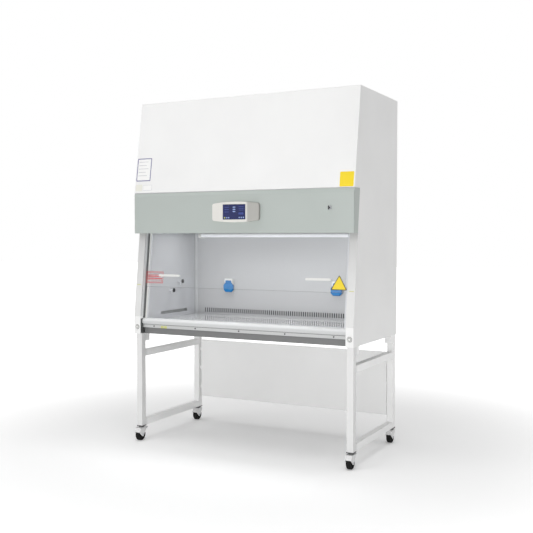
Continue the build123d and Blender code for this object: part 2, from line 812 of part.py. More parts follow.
with BuildPart() as supply_plenum:
    # pressure box: open to the supply filter below and to the exhaust filter above
    with BuildSketch(Plane.XY.offset(plenum_bottom)):
        with Locations((0, span(filter_front, filter_back))):
            Rectangle(2 * filter_half, filter_back - filter_front)
    extrude(amount=plenum_top - plenum_bottom)
    with BuildSketch(Plane.XY.offset(plenum_bottom - 1)):
        with Locations((0, span(filter_front, filter_back))):
            Rectangle(
                2 * (filter_half - plenum_sheet), filter_back - filter_front - 2 * plenum_sheet
            )
    extrude(amount=plenum_top - plenum_bottom - plenum_sheet + 1, mode=Mode.SUBTRACT)
    with BuildSketch(Plane.XY.offset(plenum_top + 1)):
        with Locations((0, span(*exhaust_y))):
            Rectangle(2 * exhaust_half - 44, exhaust_y[1] - exhaust_y[0] - 44)
    extrude(amount=-plenum_sheet - 2, mode=Mode.SUBTRACT)
    with BuildSketch(Plane.XZ.offset(-filter_back - 1)):
        with Locations((0, fan_z)):
            Circle(fan_inlet_r)
    extrude(amount=plenum_sheet + 2, mode=Mode.SUBTRACT)
finish(supply_plenum, "supply_plenum")

scroll_base = fan_r + 14
scroll_growth = 62.0
scroll_wall = 2.0
outlet_length = 60.0
scroll_arcs = 4
scroll_turn = radians(285)


def scroll_point(share, inset):
    """Point of the volute at a share of its turn."""
    angle = share * scroll_turn
    radius = scroll_base + scroll_growth * share - inset
    return (radius * sin(angle), fan_z - radius * cos(angle))


def scroll_face(inset):
    """Volute outline: a spiral of arcs that opens into a straight outlet."""
    start, end = scroll_point(0, inset), scroll_point(1, inset)
    foot = fan_z - scroll_base - outlet_length
    with BuildSketch() as face:
        with BuildLine():
            for arc in range(scroll_arcs):
                shares = (arc / scroll_arcs, (arc + 0.5) / scroll_arcs, (arc + 1) / scroll_arcs)
                ThreePointArc(*[scroll_point(share, inset) for share in shares])
            Polyline(end, (end[0], foot), (start[0] - inset, foot), start)
        make_face()
    return face.sketch


with BuildPart() as blower_housing:
    # volute of the centrifugal fan, inlet at the back and outlet downwards
    with BuildSketch(Plane.XZ.offset(-fan_y[1])):
        add(scroll_face(0))
    extrude(amount=fan_y[1] - fan_y[0])
    with BuildSketch(Plane.XZ.offset(-fan_y[1] + scroll_wall)):
        add(scroll_face(scroll_wall))
    extrude(amount=fan_y[1] - fan_y[0] - 2 * scroll_wall, mode=Mode.SUBTRACT)
    outlet = blower_housing.faces().sort_by(Axis.Z)[0]
    outlet_width = outlet.bounding_box().size.X - 2 * scroll_wall
    with BuildSketch(Plane.XY.offset(fan_z - scroll_base - outlet_length - 1)):
        with Locations((outlet.center().X, span(*fan_y))):
            Rectangle(outlet_width, fan_y[1] - fan_y[0] - 2 * scroll_wall)
    extrude(amount=12, mode=Mode.SUBTRACT)
    with BuildSketch(Plane.XZ.offset(-fan_y[1] - 1)):
        with Locations((0, fan_z)):
            Circle(fan_inlet_r)
    extrude(amount=scroll_wall + 2, mode=Mode.SUBTRACT)
    with BuildSketch(Plane.XZ.offset(-fan_y[0] + 1)):
        with Locations((0, fan_z)):
            Circle(shaft_r + 4)
    extrude(amount=-scroll_wall - 2, mode=Mode.SUBTRACT)
finish(blower_housing, "blower_housing")

impeller_y = (fan_y[0] + 12, fan_y[1] - 12)
motor_length = 92.0
motor_r = 58.0

with BuildPart() as blower_impeller:
    # backward-curved blades between a hub disc and an inlet ring, on the motor's shaft
    with BuildSketch(Plane.XZ.offset(-impeller_y[0])):
        with Locations((0, fan_z)):
            Circle(fan_r)
    extrude(amount=-3)
    with BuildSketch(Plane.XZ.offset(-impeller_y[1])):
        with Locations((0, fan_z)):
            Circle(fan_r)
            Circle(fan_inlet_r + 10, mode=Mode.SUBTRACT)
    extrude(amount=3)
    with BuildSketch(Plane.XZ.offset(-impeller_y[0])):
        with Locations((0, fan_z)):
            with PolarLocations(span(fan_inlet_r + 10, fan_r), blade_count):
                Rectangle(44, 2, rotation=38)
    extrude(amount=-(impeller_y[1] - impeller_y[0]))
    with BuildSketch(Plane.XZ.offset(-impeller_y[0])):
        with Locations((0, fan_z)):
            Circle(18)
    extrude(amount=-30)
    with BuildSketch(Plane.XZ.offset(-impeller_y[0])):
        with Locations((0, fan_z)):
            Circle(shaft_r)
    extrude(amount=30)
finish(blower_impeller, "blower_impeller")

with BuildPart() as blower_motor:
    with BuildSketch(Plane.XZ.offset(-fan_y[0] + seat)):
        with Locations((0, fan_z)):
            Circle(motor_r + 10)
    extrude(amount=4)
    with BuildSketch(Plane.XZ.offset(-fan_y[0] + seat)):
        with Locations((0, fan_z)):
            Circle(motor_r)
    extrude(amount=motor_length)
    chamfer(blower_motor.faces().sort_by(Axis.Y)[0].edges(), 5)
    with BuildSketch(Plane.XZ.offset(-fan_y[0] + seat - 1)):
        with Locations((0, fan_z)):
            Circle(shaft_r + running)
    extrude(amount=22, mode=Mode.SUBTRACT)
finish(blower_motor, "blower_motor")

box_size = (300.0, 170.0)
box_deep = 42.0
box_lid = 4.0
box_step = 5.0
box_place = (-(half - 330.0), fascia_top - 122.0)

with BuildPart() as electrical_box:
    # control electronics on the back of the fascia
    with BuildSketch(Plane.XZ.offset(-fascia_y - sheet - seat)):
        with Locations(box_place):
            RectangleRounded(*box_size, 8)
    extrude(amount=-box_deep)
    with BuildSketch(Plane.XZ.offset(-fascia_y - sheet - seat - box_deep)):
        with Locations(box_place):
            RectangleRounded(box_size[0] - 2 * box_step, box_size[1] - 2 * box_step, 6)
    extrude(amount=-box_lid)
finish(electrical_box, "electrical_box")

# ---------------------------------------------------------------- lamp, sockets and taps

lamp_y = chamber_back - 38
lamp_z = chamber_top - 122
lamp_r = 13.0
lamp_side = 77.0
lamp_half = chamber_half - lamp_side
holder_width = 20.0
holder_r = 19.0

with BuildPart() as lamp_tube:
    with BuildSketch(Plane.YZ.offset(-lamp_half)):
        with Locations((lamp_y, lamp_z)):
            Circle(lamp_r)
    extrude(amount=2 * lamp_half)
finish(lamp_tube, "lamp_tube")

with BuildPart() as lamp_holders:
    for side in (-1, 1):
        with BuildSketch(Plane.YZ.offset(side * (lamp_half + seat))):
            with Locations((lamp_y, lamp_z)):
                Circle(holder_r)
            with Locations((span(lamp_y, chamber_back - seat), lamp_z)):
                Rectangle(chamber_back - seat - lamp_y, 2 * holder_r)
        extrude(amount=side * holder_width)
finish(lamp_holders, "lamp_holders")

socket_side = 277.0
socket_x = chamber_half - socket_side
socket_z = tray_top + 193
socket_size = (64.0, 64.0)
socket_deep = 12.0
socket_face = chamber_back - seat - socket_deep
cover_size = (76.0, 64.0)
cover_cut = 16.0
cover_deep = 15.0
lid_pin_r = 2.0
lid_pin_half = 27.0
lid_z = socket_z + 40
lid_y = socket_face - 5
knuckle_r = lid_pin_r + 2.4
knuckle_half = lid_pin_half - 5
ear = (8.0, 18.0)
cap_size = (62.0, 12.0)

with BuildPart() as sockets:
    # wall sockets with a hinge cap over each, and the pin that its cover hangs on
    for side in (-1, 1):
        with BuildSketch(Plane.XZ.offset(-chamber_back + seat)):
            with Locations((side * socket_x, socket_z)):
                RectangleRounded(*socket_size, 6)
        extrude(amount=socket_deep)
        with BuildSketch(Plane.XZ.offset(-socket_face)):
            with Locations((side * socket_x, socket_z)):
                Circle(21)
        extrude(amount=-8, mode=Mode.SUBTRACT)
        with BuildSketch(Plane.XZ.offset(-chamber_back + seat)):
            with Locations((side * socket_x, lid_z - 1)):
                with GridLocations(2 * lid_pin_half, 1, 2, 1):
                    Rectangle(*ear)
        extrude(amount=chamber_back - seat - lid_y + 3.5)
        with BuildSketch(Plane.XZ.offset(-chamber_back + seat)):
            with Locations((side * socket_x, lid_z + knuckle_r + seat + cap_size[1] / 2)):
                Rectangle(*cap_size)
        extrude(amount=chamber_back - seat - lid_y)
        with BuildSketch(Plane.YZ.offset(side * socket_x - lid_pin_half)):
            with Locations((lid_y, lid_z)):
                Circle(lid_pin_r)
        extrude(amount=2 * lid_pin_half)
finish(sockets, "sockets")

for side, word in SIDES:
    # eight-sided flip cover with sloping edges, hung on the socket's pin
    with BuildPart() as socket_cover:
        with BuildSketch(Plane.XZ.offset(-socket_face + seat)) as cover_face:
            with Locations((side * socket_x, socket_z - 3)):
                Rectangle(*cover_size)
            chamfer(cover_face.vertices(), cover_cut)
        extrude(amount=cover_deep)
        chamfer(socket_cover.faces().sort_by(Axis.Y)[0].edges(), 5)
        with BuildSketch(Plane.YZ.offset(side * socket_x - knuckle_half)):
            with Locations((lid_y, lid_z)):
                Circle(knuckle_r)
            with Locations((lid_y - 1, lid_z - 8)):
                Rectangle(5, 14)
            with Locations((lid_y, lid_z)):
                Circle(lid_pin_r + running, mode=Mode.SUBTRACT)
        extrude(amount=2 * knuckle_half)
    finish(socket_cover, f"socket_cover_{word}")

tap_places = {"upper": (43.0, tray_top + 236), "lower": (-65.0, tray_top + 181)}
tap_reach = 26.0
tap_face = -chamber_half

with BuildPart() as tap_bodies:
    # wall flange, stem and a nozzle that points down
    for place in tap_places.values():
        for radius, reach in ((13.0, 4.0), (6.5, tap_reach)):
            with BuildSketch(Plane.YZ.offset(tap_face)):
                with Locations(place):
                    Circle(radius)
            extrude(amount=reach)
        with BuildSketch(Plane.XY.offset(place[1])):
            with Locations((tap_face + 16, place[0])):
                Circle(4)
        extrude(amount=-22)
        with BuildSketch(Plane.YZ.offset(tap_face + tap_reach)):
            with Locations(place):
                Circle(3 + running)
        extrude(amount=-8, mode=Mode.SUBTRACT)
finish(tap_bodies, "tap_bodies")

for word, place in tap_places.items():
    # knob with two wings on a spindle
    with BuildPart() as tap_knob:
        with BuildSketch(Plane.YZ.offset(tap_face + tap_reach + seat)):
            with Locations(place):
                Circle(8)
                SlotOverall(26, 7, rotation=90)
        extrude(amount=12)
        with BuildSketch(Plane.YZ.offset(tap_face + tap_reach + seat)):
            with Locations(place):
                Circle(3)
        extrude(amount=-7)
    finish(tap_knob, f"tap_knob_{word}")

# ---------------------------------------------------------------- controls

panel_half = 159.0
panel_flat = 78.0
panel_out = 31.5
panel_facet = 14.0
panel_z = fascia_top - 126
panel_height = 122.0
panel_end_height = 100.0
screen_size = (154.0, 90.0)
screen_thick = 3.0
panel_face = fascia_y - panel_out

with BuildPart() as control_housing:
    # moulded housing: three facets across, and bowed upper and lower edges
    with BuildSketch(Plane.XY.offset(panel_z - panel_height)):
        with BuildLine():
            Polyline(
                (-panel_half, fascia_y),
                (-panel_half, fascia_y - panel_out + panel_facet),
                (-panel_flat, panel_face),
                (panel_flat, panel_face),
                (panel_half, fascia_y - panel_out + panel_facet),
                (panel_half, fascia_y),
                close=True,
            )
        make_face()
    extrude(amount=2 * panel_height)
    with BuildSketch(Plane.XZ.offset(-fascia_y)):
        with BuildLine():
            low, high = panel_z - panel_height / 2, panel_z + panel_height / 2
            end_low, end_high = panel_z - panel_end_height / 2, panel_z + panel_end_height / 2
            ThreePointArc((-panel_half, end_low), (0, low), (panel_half, end_low))
            Line((panel_half, end_low), (panel_half, end_high))
            ThreePointArc((panel_half, end_high), (0, high), (-panel_half, end_high))
            Line((-panel_half, end_high), (-panel_half, end_low))
        make_face()
    extrude(amount=panel_out, mode=Mode.INTERSECT)
    ends = control_housing.edges().filter_by(Axis.Y)
    fillet(ends, 14)
    with BuildSketch(Plane.XZ.offset(-panel_face + 1)):
        with Locations((0, panel_z)):
            Rectangle(screen_size[0] + 2 * seat, screen_size[1] + 2 * seat)
    extrude(amount=-screen_thick - 1, mode=Mode.SUBTRACT)
finish(control_housing, "control_housing")

with BuildPart() as touch_screen:
    with BuildSketch(Plane.XZ.offset(-panel_face)):
        with Locations((0, panel_z)):
            RectangleRounded(*screen_size, 2)
    extrude(amount=-screen_thick)
finish(touch_screen, "touch_screen")

plug_r = 4.0
barrel_out = 5.0

with BuildPart() as lock_barrel:
    with BuildSketch(Plane.XZ.offset(-fascia_y)):
        with Locations(lock_place):
            Circle(lock_r + 3)
    extrude(amount=barrel_out)
    with BuildSketch(Plane.XZ.offset(-fascia_y)):
        with Locations(lock_place):
            Circle(lock_r)
    extrude(amount=-20)
    with BuildSketch(Plane.XZ.offset(-fascia_y + barrel_out)):
        with Locations(lock_place):
            Circle(plug_r + running)
    extrude(amount=-20, mode=Mode.SUBTRACT)
finish(lock_barrel, "lock_barrel")

with BuildPart() as lock_key:
    # plug of the lock with its key left in
    with BuildSketch(Plane.XZ.offset(-fascia_y + barrel_out)):
        with Locations(lock_place):
            Circle(plug_r)
    extrude(amount=-18)
    with BuildSketch(Plane.YZ.offset(lock_place[0] - 1)):
        with Locations((fascia_y - barrel_out - 3, lock_place[1])):
            Rectangle(8, 6)
        with Locations((fascia_y - barrel_out - 13, lock_place[1])):
            RectangleRounded(14, 22, 4)
            Circle(3, mode=Mode.SUBTRACT)
    extrude(amount=2)
finish(lock_key, "lock_key")

cap_x = half - column / 2
cap_z = body_bottom + 45
cap_r = 13.5
cap_lamp_r = 2.5
cap_lamp_drop = 24.0

with BuildPart() as column_caps:
    # round port cap low on each column, with a small lamp under it
    for side in (-1, 1):
        with BuildSketch(Plane.XZ.offset(-knee_y)):
            with Locations((side * cap_x, cap_z)):
                Circle(cap_r)
        extrude(amount=4)
        with BuildSketch(Plane.XZ.offset(-knee_y + 4)):
            with Locations((side * cap_x, cap_z)):
                Circle(cap_r - 3)
                Circle(cap_r - 6, mode=Mode.SUBTRACT)
        extrude(amount=-1.2, mode=Mode.SUBTRACT)
        with BuildSketch(Plane.XZ.offset(-knee_y)):
            with Locations((side * cap_x, cap_z - cap_lamp_drop)):
                Circle(cap_lamp_r)
        extrude(amount=2)
finish(column_caps, "column_caps")

# ---------------------------------------------------------------- stand

rail_zs = (body_bottom - upper_rail_drop, leg_bottom + lower_rail_rise)

for side, word in SIDES:
    # welded side frame: two legs, two rails and a foot under the body on each leg
    inner_x = side * (leg_outer - tube / 2)
    with BuildPart() as stand_frame:
        for leg_y in (leg_front_y, leg_back_y):
            with BuildSketch(Plane.XY.offset(leg_bottom)):
                with Locations((inner_x, leg_y)):
                    Rectangle(tube, tube)
            extrude(amount=body_bottom - foot_height - leg_bottom)
        for rail_z in rail_zs:
            with BuildSketch(Plane.XZ.offset(-leg_front_y)):
                with Locations((inner_x, rail_z)):
                    Rectangle(tube, tube)
            extrude(amount=-(leg_back_y - leg_front_y))
        for foot_y in (leg_front + foot_length / 2, back_y - foot_length / 2):
            with BuildSketch(Plane.XY.offset(body_bottom - foot_height)):
                with Locations((inner_x, foot_y)):
                    Rectangle(tube, foot_length)
            extrude(amount=foot_height)
        for leg_y in (leg_front_y, leg_back_y):
            with BuildSketch(Plane.XY.offset(leg_bottom + 4)):
                with Locations((inner_x, leg_y)):
                    Rectangle(tube - 2 * tube_wall, tube - 2 * tube_wall)
            extrude(amount=body_bottom - foot_height - leg_bottom - 8, mode=Mode.SUBTRACT)
        for rail_z in rail_zs:
            with BuildSketch(Plane.XZ.offset(-leg_front_y - tube / 2)):
                with Locations((inner_x, rail_z)):
                    Rectangle(tube - 2 * tube_wall, tube - 2 * tube_wall)
            extrude(amount=-(leg_back_y - leg_front_y - tube), mode=Mode.SUBTRACT)
    finish(stand_frame, f"stand_frame_{word}")

hem = 14.0
tab = (8.0, 22.0)
tab_inset = 68.0
tab_zs = (back_sheet_z[0] + tab_inset, span(*back_sheet_z), back_sheet_z[1] - tab_inset)

with BuildPart() as stand_back_sheet:
    # rear sheet with folded edges, held to the legs by three tabs a side
    with BuildSketch(Plane.XZ.offset(-back_sheet_y)):
        with Locations((0, span(*back_sheet_z))):
            Rectangle(2 * back_sheet_half, back_sheet_z[1] - back_sheet_z[0])
    extrude(amount=-hem)
    with BuildSketch(Plane.XZ.offset(-back_sheet_y - sheet)):
        with Locations((0, span(*back_sheet_z))):
            Rectangle(
                2 * (back_sheet_half - sheet), back_sheet_z[1] - back_sheet_z[0] - 2 * sheet
            )
    extrude(amount=-hem, mode=Mode.SUBTRACT)
    for side in (-1, 1):
        for tab_z in tab_zs:
            with BuildSketch(Plane.YZ.offset(side * back_sheet_half)):
                with Locations((back_sheet_y + hem / 2, tab_z)):
                    Rectangle(*tab)
            extrude(amount=side * (leg_outer - tube - back_sheet_half - seat))
finish(stand_back_sheet, "stand_back_sheet")

# ---------------------------------------------------------------- castors

CORNERS = [
    (side, leg_y, f"{end}_{word}")
    for leg_y, end in ((leg_front_y, "front"), (leg_back_y, "rear"))
    for side, word in SIDES
]
king_r = 5.0
race_r = 21.0
fork_half = wheel_width / 2 + 1.2
fork_sheet = 2.5
hood_front = wheel_r + 4.0
hood_back = wheel_r - 2.0
apron_z = wheel_z + 6
rim = wheel_width / 2
web = rim - 5
hub_r = 12.0
tread_in = wheel_r - 10.5
pedal_pin = (30.0, crown_z - 14)
pedal_pin_r = 2.0

with BuildPart() as castor_plates:
    for side, leg_y, word in CORNERS:
        with BuildSketch(Plane.XY.offset(leg_bottom - plate_thick)):
            with Locations((side * leg_centre_x, leg_y)):
                RectangleRounded(plate_size, plate_size, 6)
        extrude(amount=plate_thick)
        with BuildSketch(Plane.XY.offset(leg_bottom - plate_thick)):
            with Locations((side * leg_centre_x, leg_y)):
                Circle(king_r)
        extrude(amount=-(leg_bottom - plate_thick - crown_z + crown_thick + seat + 2))
        with BuildSketch(Plane.XY.offset(crown_z - crown_thick - seat)):
            with Locations((side * leg_centre_x, leg_y)):
                Circle(king_r + 3)
        extrude(amount=-2)
finish(castor_plates, "castor_plates")


def fork_face(axle_y):
    """Side view of a castor's fork: crown, apron at the front and a cheek that rises at the back."""
    with BuildSketch() as face:
        with BuildLine():
            Polyline(
                (axle_y + hood_back, crown_z),
                (axle_y - hood_front + 8, crown_z),
                (axle_y - hood_front, crown_z - 10),
                (axle_y - hood_front, apron_z),
                (axle_y - wheel_r, apron_z - 4),
                (axle_y - wheel_r + 1, wheel_z - 20),
                (axle_y - wheel_r + 9, wheel_z - 28),
                (axle_y - 4, wheel_z - 28),
                (axle_y + 12, wheel_z - 17),
                (axle_y + hood_back - 6, wheel_z - 13),
                (axle_y + hood_back, wheel_z - 4),
                close=True,
            )
        make_face()
    return face.sketch


for side, leg_y, word in CORNERS:
    centre_x = side * leg_centre_x
    axle_y = leg_y - trail
    with BuildPart() as castor_fork:
        # pressed fork: crown, ball race, two cheeks and the axle bolt
        with BuildSketch(Plane.YZ.offset(centre_x - fork_half - fork_sheet)):
            add(fork_face(axle_y))
        extrude(amount=2 * (fork_half + fork_sheet))
        fillet(castor_fork.edges().filter_by(Axis.X).sort_by(Axis.Z)[-3:], 2.5)
        inner_start = axle_y - hood_front + fork_sheet
        inner_length = hood_front + hood_back
        with BuildSketch(Plane.YZ.offset(centre_x - fork_half)):
            with Locations((inner_start + inner_length / 2, (crown_z - crown_thick) / 2)):
                Rectangle(inner_length, crown_z - crown_thick)
            with Locations((inner_start, (apron_z - 4) / 2)):
                Rectangle(2 * inner_length, apron_z - 4)
        extrude(amount=2 * fork_half, mode=Mode.SUBTRACT)
        with BuildSketch(Plane.XY.offset(crown_z)):
            with Locations((centre_x, leg_y)):
                Circle(race_r)
        extrude(amount=leg_bottom - plate_thick - seat - crown_z)
        with BuildSketch(Plane.XY.offset(leg_bottom)):
            with Locations((centre_x, leg_y)):
                Circle(king_r + running)
        extrude(amount=-(leg_bottom - crown_z + crown_thick + 1), mode=Mode.SUBTRACT)
        with BuildSketch(Plane.YZ.offset(centre_x - fork_half - fork_sheet - 3)):
            with Locations((axle_y, wheel_z)):
                Circle(axle_r)
        extrude(amount=2 * (fork_half + fork_sheet + 3))
        for head_x in (centre_x - fork_half - fork_sheet - 3, centre_x + fork_half + fork_sheet):
            with BuildSketch(Plane.YZ.offset(head_x)):
                with Locations((axle_y, wheel_z)):
                    RegularPolygon(8, 6)
            extrude(amount=3)
        if leg_y == leg_front_y:
            with BuildSketch(Plane.YZ.offset(centre_x - fork_half - 1)):
                with Locations((axle_y + pedal_pin[0], pedal_pin[1])):
                    Circle(pedal_pin_r)
            extrude(amount=2 * fork_half + 2)
    finish(castor_fork, f"castor_fork_{word}")

    with BuildPart() as castor_wheel:
        # tread, recessed web and hub, turned in one piece
        axle_centre = (centre_x, axle_y, wheel_z)
        with BuildSketch(Plane(origin=axle_centre, x_dir=(1, 0, 0), z_dir=(0, -1, 0))):
            with BuildLine():
                Polyline(
                    (-rim, axle_r + running),
                    (-rim, hub_r),
                    (-web, hub_r),
                    (-web, tread_in),
                    (-rim, tread_in),
                    (-rim, wheel_r - 3),
                    (3 - rim, wheel_r),
                    (rim - 3, wheel_r),
                    (rim, wheel_r - 3),
                    (rim, tread_in),
                    (web, tread_in),
                    (web, hub_r),
                    (rim, hub_r),
                    (rim, axle_r + running),
                    close=True,
                )
            make_face()
        revolve(axis=Axis(axle_centre, (1, 0, 0)))
    finish(castor_wheel, f"castor_wheel_{word}")

    if leg_y == leg_back_y:
        continue
    with BuildPart() as castor_pedal:
        # brake pedal between the fork's cheeks, on a pin at the back
        pin_y = axle_y + pedal_pin[0]
        pin_z = pedal_pin[1]
        with BuildSketch(Plane.YZ.offset(centre_x - fork_half + 0.6)):
            with BuildLine():
                Polyline(
                    (pin_y - 1, pin_z + 4),
                    (pin_y + 18, pin_z + 4.5),
                    (pin_y + 30, pin_z + 9),
                    (pin_y + 33, pin_z + 6),
                    (pin_y + 20, pin_z - 1),
                    (pin_y + 2, pin_z - 4),
                    close=True,
                )
            make_face()
            with Locations((pin_y, pin_z)):
                Circle(4.2)
                Circle(pedal_pin_r + running, mode=Mode.SUBTRACT)
        extrude(amount=2 * fork_half - 1.2)
    finish(castor_pedal, f"castor_pedal_{word}")

print(len(finished), "pieces")
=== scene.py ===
import math

import bmesh
import bpy
from mathutils import Matrix, Vector
from mathutils.bvhtree import BVHTree


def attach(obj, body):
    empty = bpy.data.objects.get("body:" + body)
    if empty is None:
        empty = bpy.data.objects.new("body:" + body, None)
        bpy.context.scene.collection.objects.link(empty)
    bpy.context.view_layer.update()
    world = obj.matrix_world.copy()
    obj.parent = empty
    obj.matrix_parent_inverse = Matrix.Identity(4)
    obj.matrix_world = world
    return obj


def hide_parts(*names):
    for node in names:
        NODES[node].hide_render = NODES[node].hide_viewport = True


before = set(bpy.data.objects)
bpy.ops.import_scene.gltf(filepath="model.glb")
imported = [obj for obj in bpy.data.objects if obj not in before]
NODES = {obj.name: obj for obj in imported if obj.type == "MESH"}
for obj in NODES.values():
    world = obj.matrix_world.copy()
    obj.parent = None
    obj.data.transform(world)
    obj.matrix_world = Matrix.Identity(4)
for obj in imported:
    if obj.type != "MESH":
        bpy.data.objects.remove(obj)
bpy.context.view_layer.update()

UP = Vector((0, 0, 1))
SIDES = ((-1, "left"), (1, "right"))


# ---------------------------------------------------------------- materials

GRAIN_DEPTH = 0.0002                # relief of a finish's fine grain
DRIFT_BAND = (0.3, 0.7)             # part of the noise over which a colour drifts
BRUSHED_UP = (1, 1, 0.02)           # grain drawn out up the sheet
BRUSHED_ACROSS = (0.02, 1, 1)       # grain drawn out across the sheet


def linear(red, green, blue):
    """Linear colour of an 8-bit display colour."""
    def channel(value):
        value /= 255
        return value / 12.92 if value <= 0.04045 else ((value + 0.055) / 1.055) ** 2.4
    return channel(red), channel(green), channel(blue)


def surface_material(name, colour, roughness, metallic=0.0, mottle=0.02, mottle_size=0.35,
                     grain=0.0012, relief=0.12, stretch=(1, 1, 1), rough_swing=0.05,
                     edge=0.0012, ior=1.5):
    """A procedural finish: slight colour drift, a fine grain in gloss and relief, and softened edges."""
    mat = bpy.data.materials.new(name)
    mat.use_nodes = True
    tree = mat.node_tree
    shader = tree.nodes["Principled BSDF"]
    shader.inputs["Metallic"].default_value = metallic
    shader.inputs["IOR"].default_value = ior

    place = tree.nodes.new("ShaderNodeTexCoord")
    mapping = tree.nodes.new("ShaderNodeMapping")
    mapping.inputs["Scale"].default_value = stretch
    tree.links.new(place.outputs["Object"], mapping.inputs["Vector"])

    drift = tree.nodes.new("ShaderNodeTexNoise")
    drift.inputs["Scale"].default_value = 1 / mottle_size
    drift.inputs["Detail"].default_value = 3
    tree.links.new(mapping.outputs["Vector"], drift.inputs["Vector"])
    ramp = tree.nodes.new("ShaderNodeValToRGB")
    darker, lighter = ramp.color_ramp.elements
    darker.position, lighter.position = DRIFT_BAND
    darker.color = [c * (1 - mottle) for c in colour] + [1]
    lighter.color = [min(c * (1 + mottle), 1) for c in colour] + [1]
    tree.links.new(drift.outputs["Fac"], ramp.inputs["Fac"])
    tree.links.new(ramp.outputs["Color"], shader.inputs["Base Color"])

    fine = tree.nodes.new("ShaderNodeTexNoise")
    fine.inputs["Scale"].default_value = 1 / grain
    fine.inputs["Detail"].default_value = 2
    tree.links.new(mapping.outputs["Vector"], fine.inputs["Vector"])
    gloss = tree.nodes.new("ShaderNodeMapRange")
    gloss.inputs["To Min"].default_value = max(roughness - rough_swing, 0.02)
    gloss.inputs["To Max"].default_value = roughness + rough_swing
    tree.links.new(fine.outputs["Fac"], gloss.inputs["Value"])
    tree.links.new(gloss.outputs["Result"], shader.inputs["Roughness"])

    bump = tree.nodes.new("ShaderNodeBump")
    bump.inputs["Strength"].default_value = relief
    bump.inputs["Distance"].default_value = GRAIN_DEPTH
    tree.links.new(fine.outputs["Fac"], bump.inputs["Height"])
    if edge:
        bevel = tree.nodes.new("ShaderNodeBevel")
        bevel.samples = 4
        bevel.inputs["Radius"].default_value = edge
        tree.links.new(bevel.outputs["Normal"], bump.inputs["Normal"])
    tree.links.new(bump.outputs["Normal"], shader.inputs["Normal"])
    return mat


def film_material(name, colour, roughness=0.4, relief=0.02):
    """Finish of a thin label, print or screen mark."""
    return surface_material(name, colour, roughness, relief=relief, edge=0.0)


def any_ray(tree, *kinds):
    """Socket that is 1 for a ray of any of these kinds."""
    path = tree.nodes.new("ShaderNodeLightPath")
    seen = path.outputs[kinds[0]]
    for kind in kinds[1:]:
        most = tree.nodes.new("ShaderNodeMath")
        most.operation = "MAXIMUM"
        tree.links.new(seen, most.inputs[0])
        tree.links.new(path.outputs[kind], most.inputs[1])
        seen = most.outputs["Value"]
    return seen


def glass_material(name, colour, clear_tint):
    """Clear glass that lets the light through to what stands behind it."""
    mat = surface_material(name, colour, 0.0, mottle=0.002, relief=0.0, rough_swing=0.0, edge=0.0,
                           ior=1.45)
    tree = mat.node_tree
    shader = tree.nodes["Principled BSDF"]
    shader.inputs["Transmission Weight"].default_value = 1.0
    clear = tree.nodes.new("ShaderNodeBsdfTransparent")
    clear.inputs["Color"].default_value = (*clear_tint, 1)
    mix = tree.nodes.new("ShaderNodeMixShader")
    tree.links.new(any_ray(tree, "Is Shadow Ray", "Is Diffuse Ray"), mix.inputs["Fac"])
    tree.links.new(shader.outputs["BSDF"], mix.inputs[1])
    tree.links.new(clear.outputs["BSDF"], mix.inputs[2])
    tree.links.new(mix.outputs["Shader"], tree.nodes["Material Output"].inputs["Surface"])
    return mat


def graded(mat, axis, start, end, tint):
    """Let a finish turn towards a tint along one axis of the object."""
    tree = mat.node_tree
    shader = tree.nodes["Principled BSDF"]
    source = shader.inputs["Base Color"].links[0].from_socket
    place = tree.nodes.new("ShaderNodeTexCoord")
    split = tree.nodes.new("ShaderNodeSeparateXYZ")
    change = tree.nodes.new("ShaderNodeMapRange")
    change.interpolation_type = "SMOOTHSTEP"
    change.inputs["From Min"].default_value = start
    change.inputs["From Max"].default_value = end
    blend = tree.nodes.new("ShaderNodeMix")
    blend.data_type = "RGBA"
    blend.blend_type = "MULTIPLY"
    blend.inputs["B"].default_value = (*tint, 1)
    tree.links.new(place.outputs["Object"], split.inputs["Vector"])
    tree.links.new(split.outputs[axis], change.inputs["Value"])
    tree.links.new(change.outputs["Result"], blend.inputs["Factor"])
    tree.links.new(source, blend.inputs["A"])
    tree.links.new(blend.outputs["Result"], shader.inputs["Base Color"])
    return mat


def glowing(mat, strength):
    """Give a finish its own even light."""
    shader = mat.node_tree.nodes["Principled BSDF"]
    shader.inputs["Emission Color"].default_value = (1.0, 1.0, 1.0, 1)
    shader.inputs["Emission Strength"].default_value = strength
    return mat


# Paint, with painted light and shade: the columns grey and darker towards the top under the fascia, the
# stand's legs lighter at the back and darker towards the front, and the lip darker underneath.
WHITE_COAT = surface_material("white_coat", (0.86, 0.86, 0.855), 0.42)
# Painted shade: the columns' grey and its darkening towards the top stand for the shadow under the fascia.
COLUMN_SHADE_COAT = surface_material("column_painted_shade", (0.73, 0.73, 0.725), 0.42)
graded(COLUMN_SHADE_COAT, "Z", 0.9, 1.33, (0.82, 0.82, 0.82))
graded(COLUMN_SHADE_COAT, "Z", 1.27, 1.335, (0.70, 0.70, 0.70))
# Painted light and shade: the stand's coat is lighter for the rear legs under the cabinet and darker
# towards the front legs.
STAND_LIT_SHADED_COAT = surface_material("stand_coat_painted_light_and_shade", (0.92, 0.92, 0.915), 0.4)
graded(STAND_LIT_SHADED_COAT, "Y", -0.27, -0.31, (0.82, 0.82, 0.82))
SHEET_COAT = surface_material("sheet_coat", (0.91, 0.91, 0.905), 0.42)
GREY_COAT = surface_material("grey_coat", linear(177, 184, 180), 0.4)
# Painted shade: the lip darker on its lower front face, lighter at its top edge.
LIP_SHADED_COAT = surface_material("lip_coat_painted_shade", (0.75, 0.76, 0.765), 0.28, edge=0.004)
graded(LIP_SHADED_COAT, "Z", 0.781, 0.768, (0.80, 0.80, 0.80))
RAIL_COAT = surface_material("rail_coat", linear(198, 199, 199), 0.4)
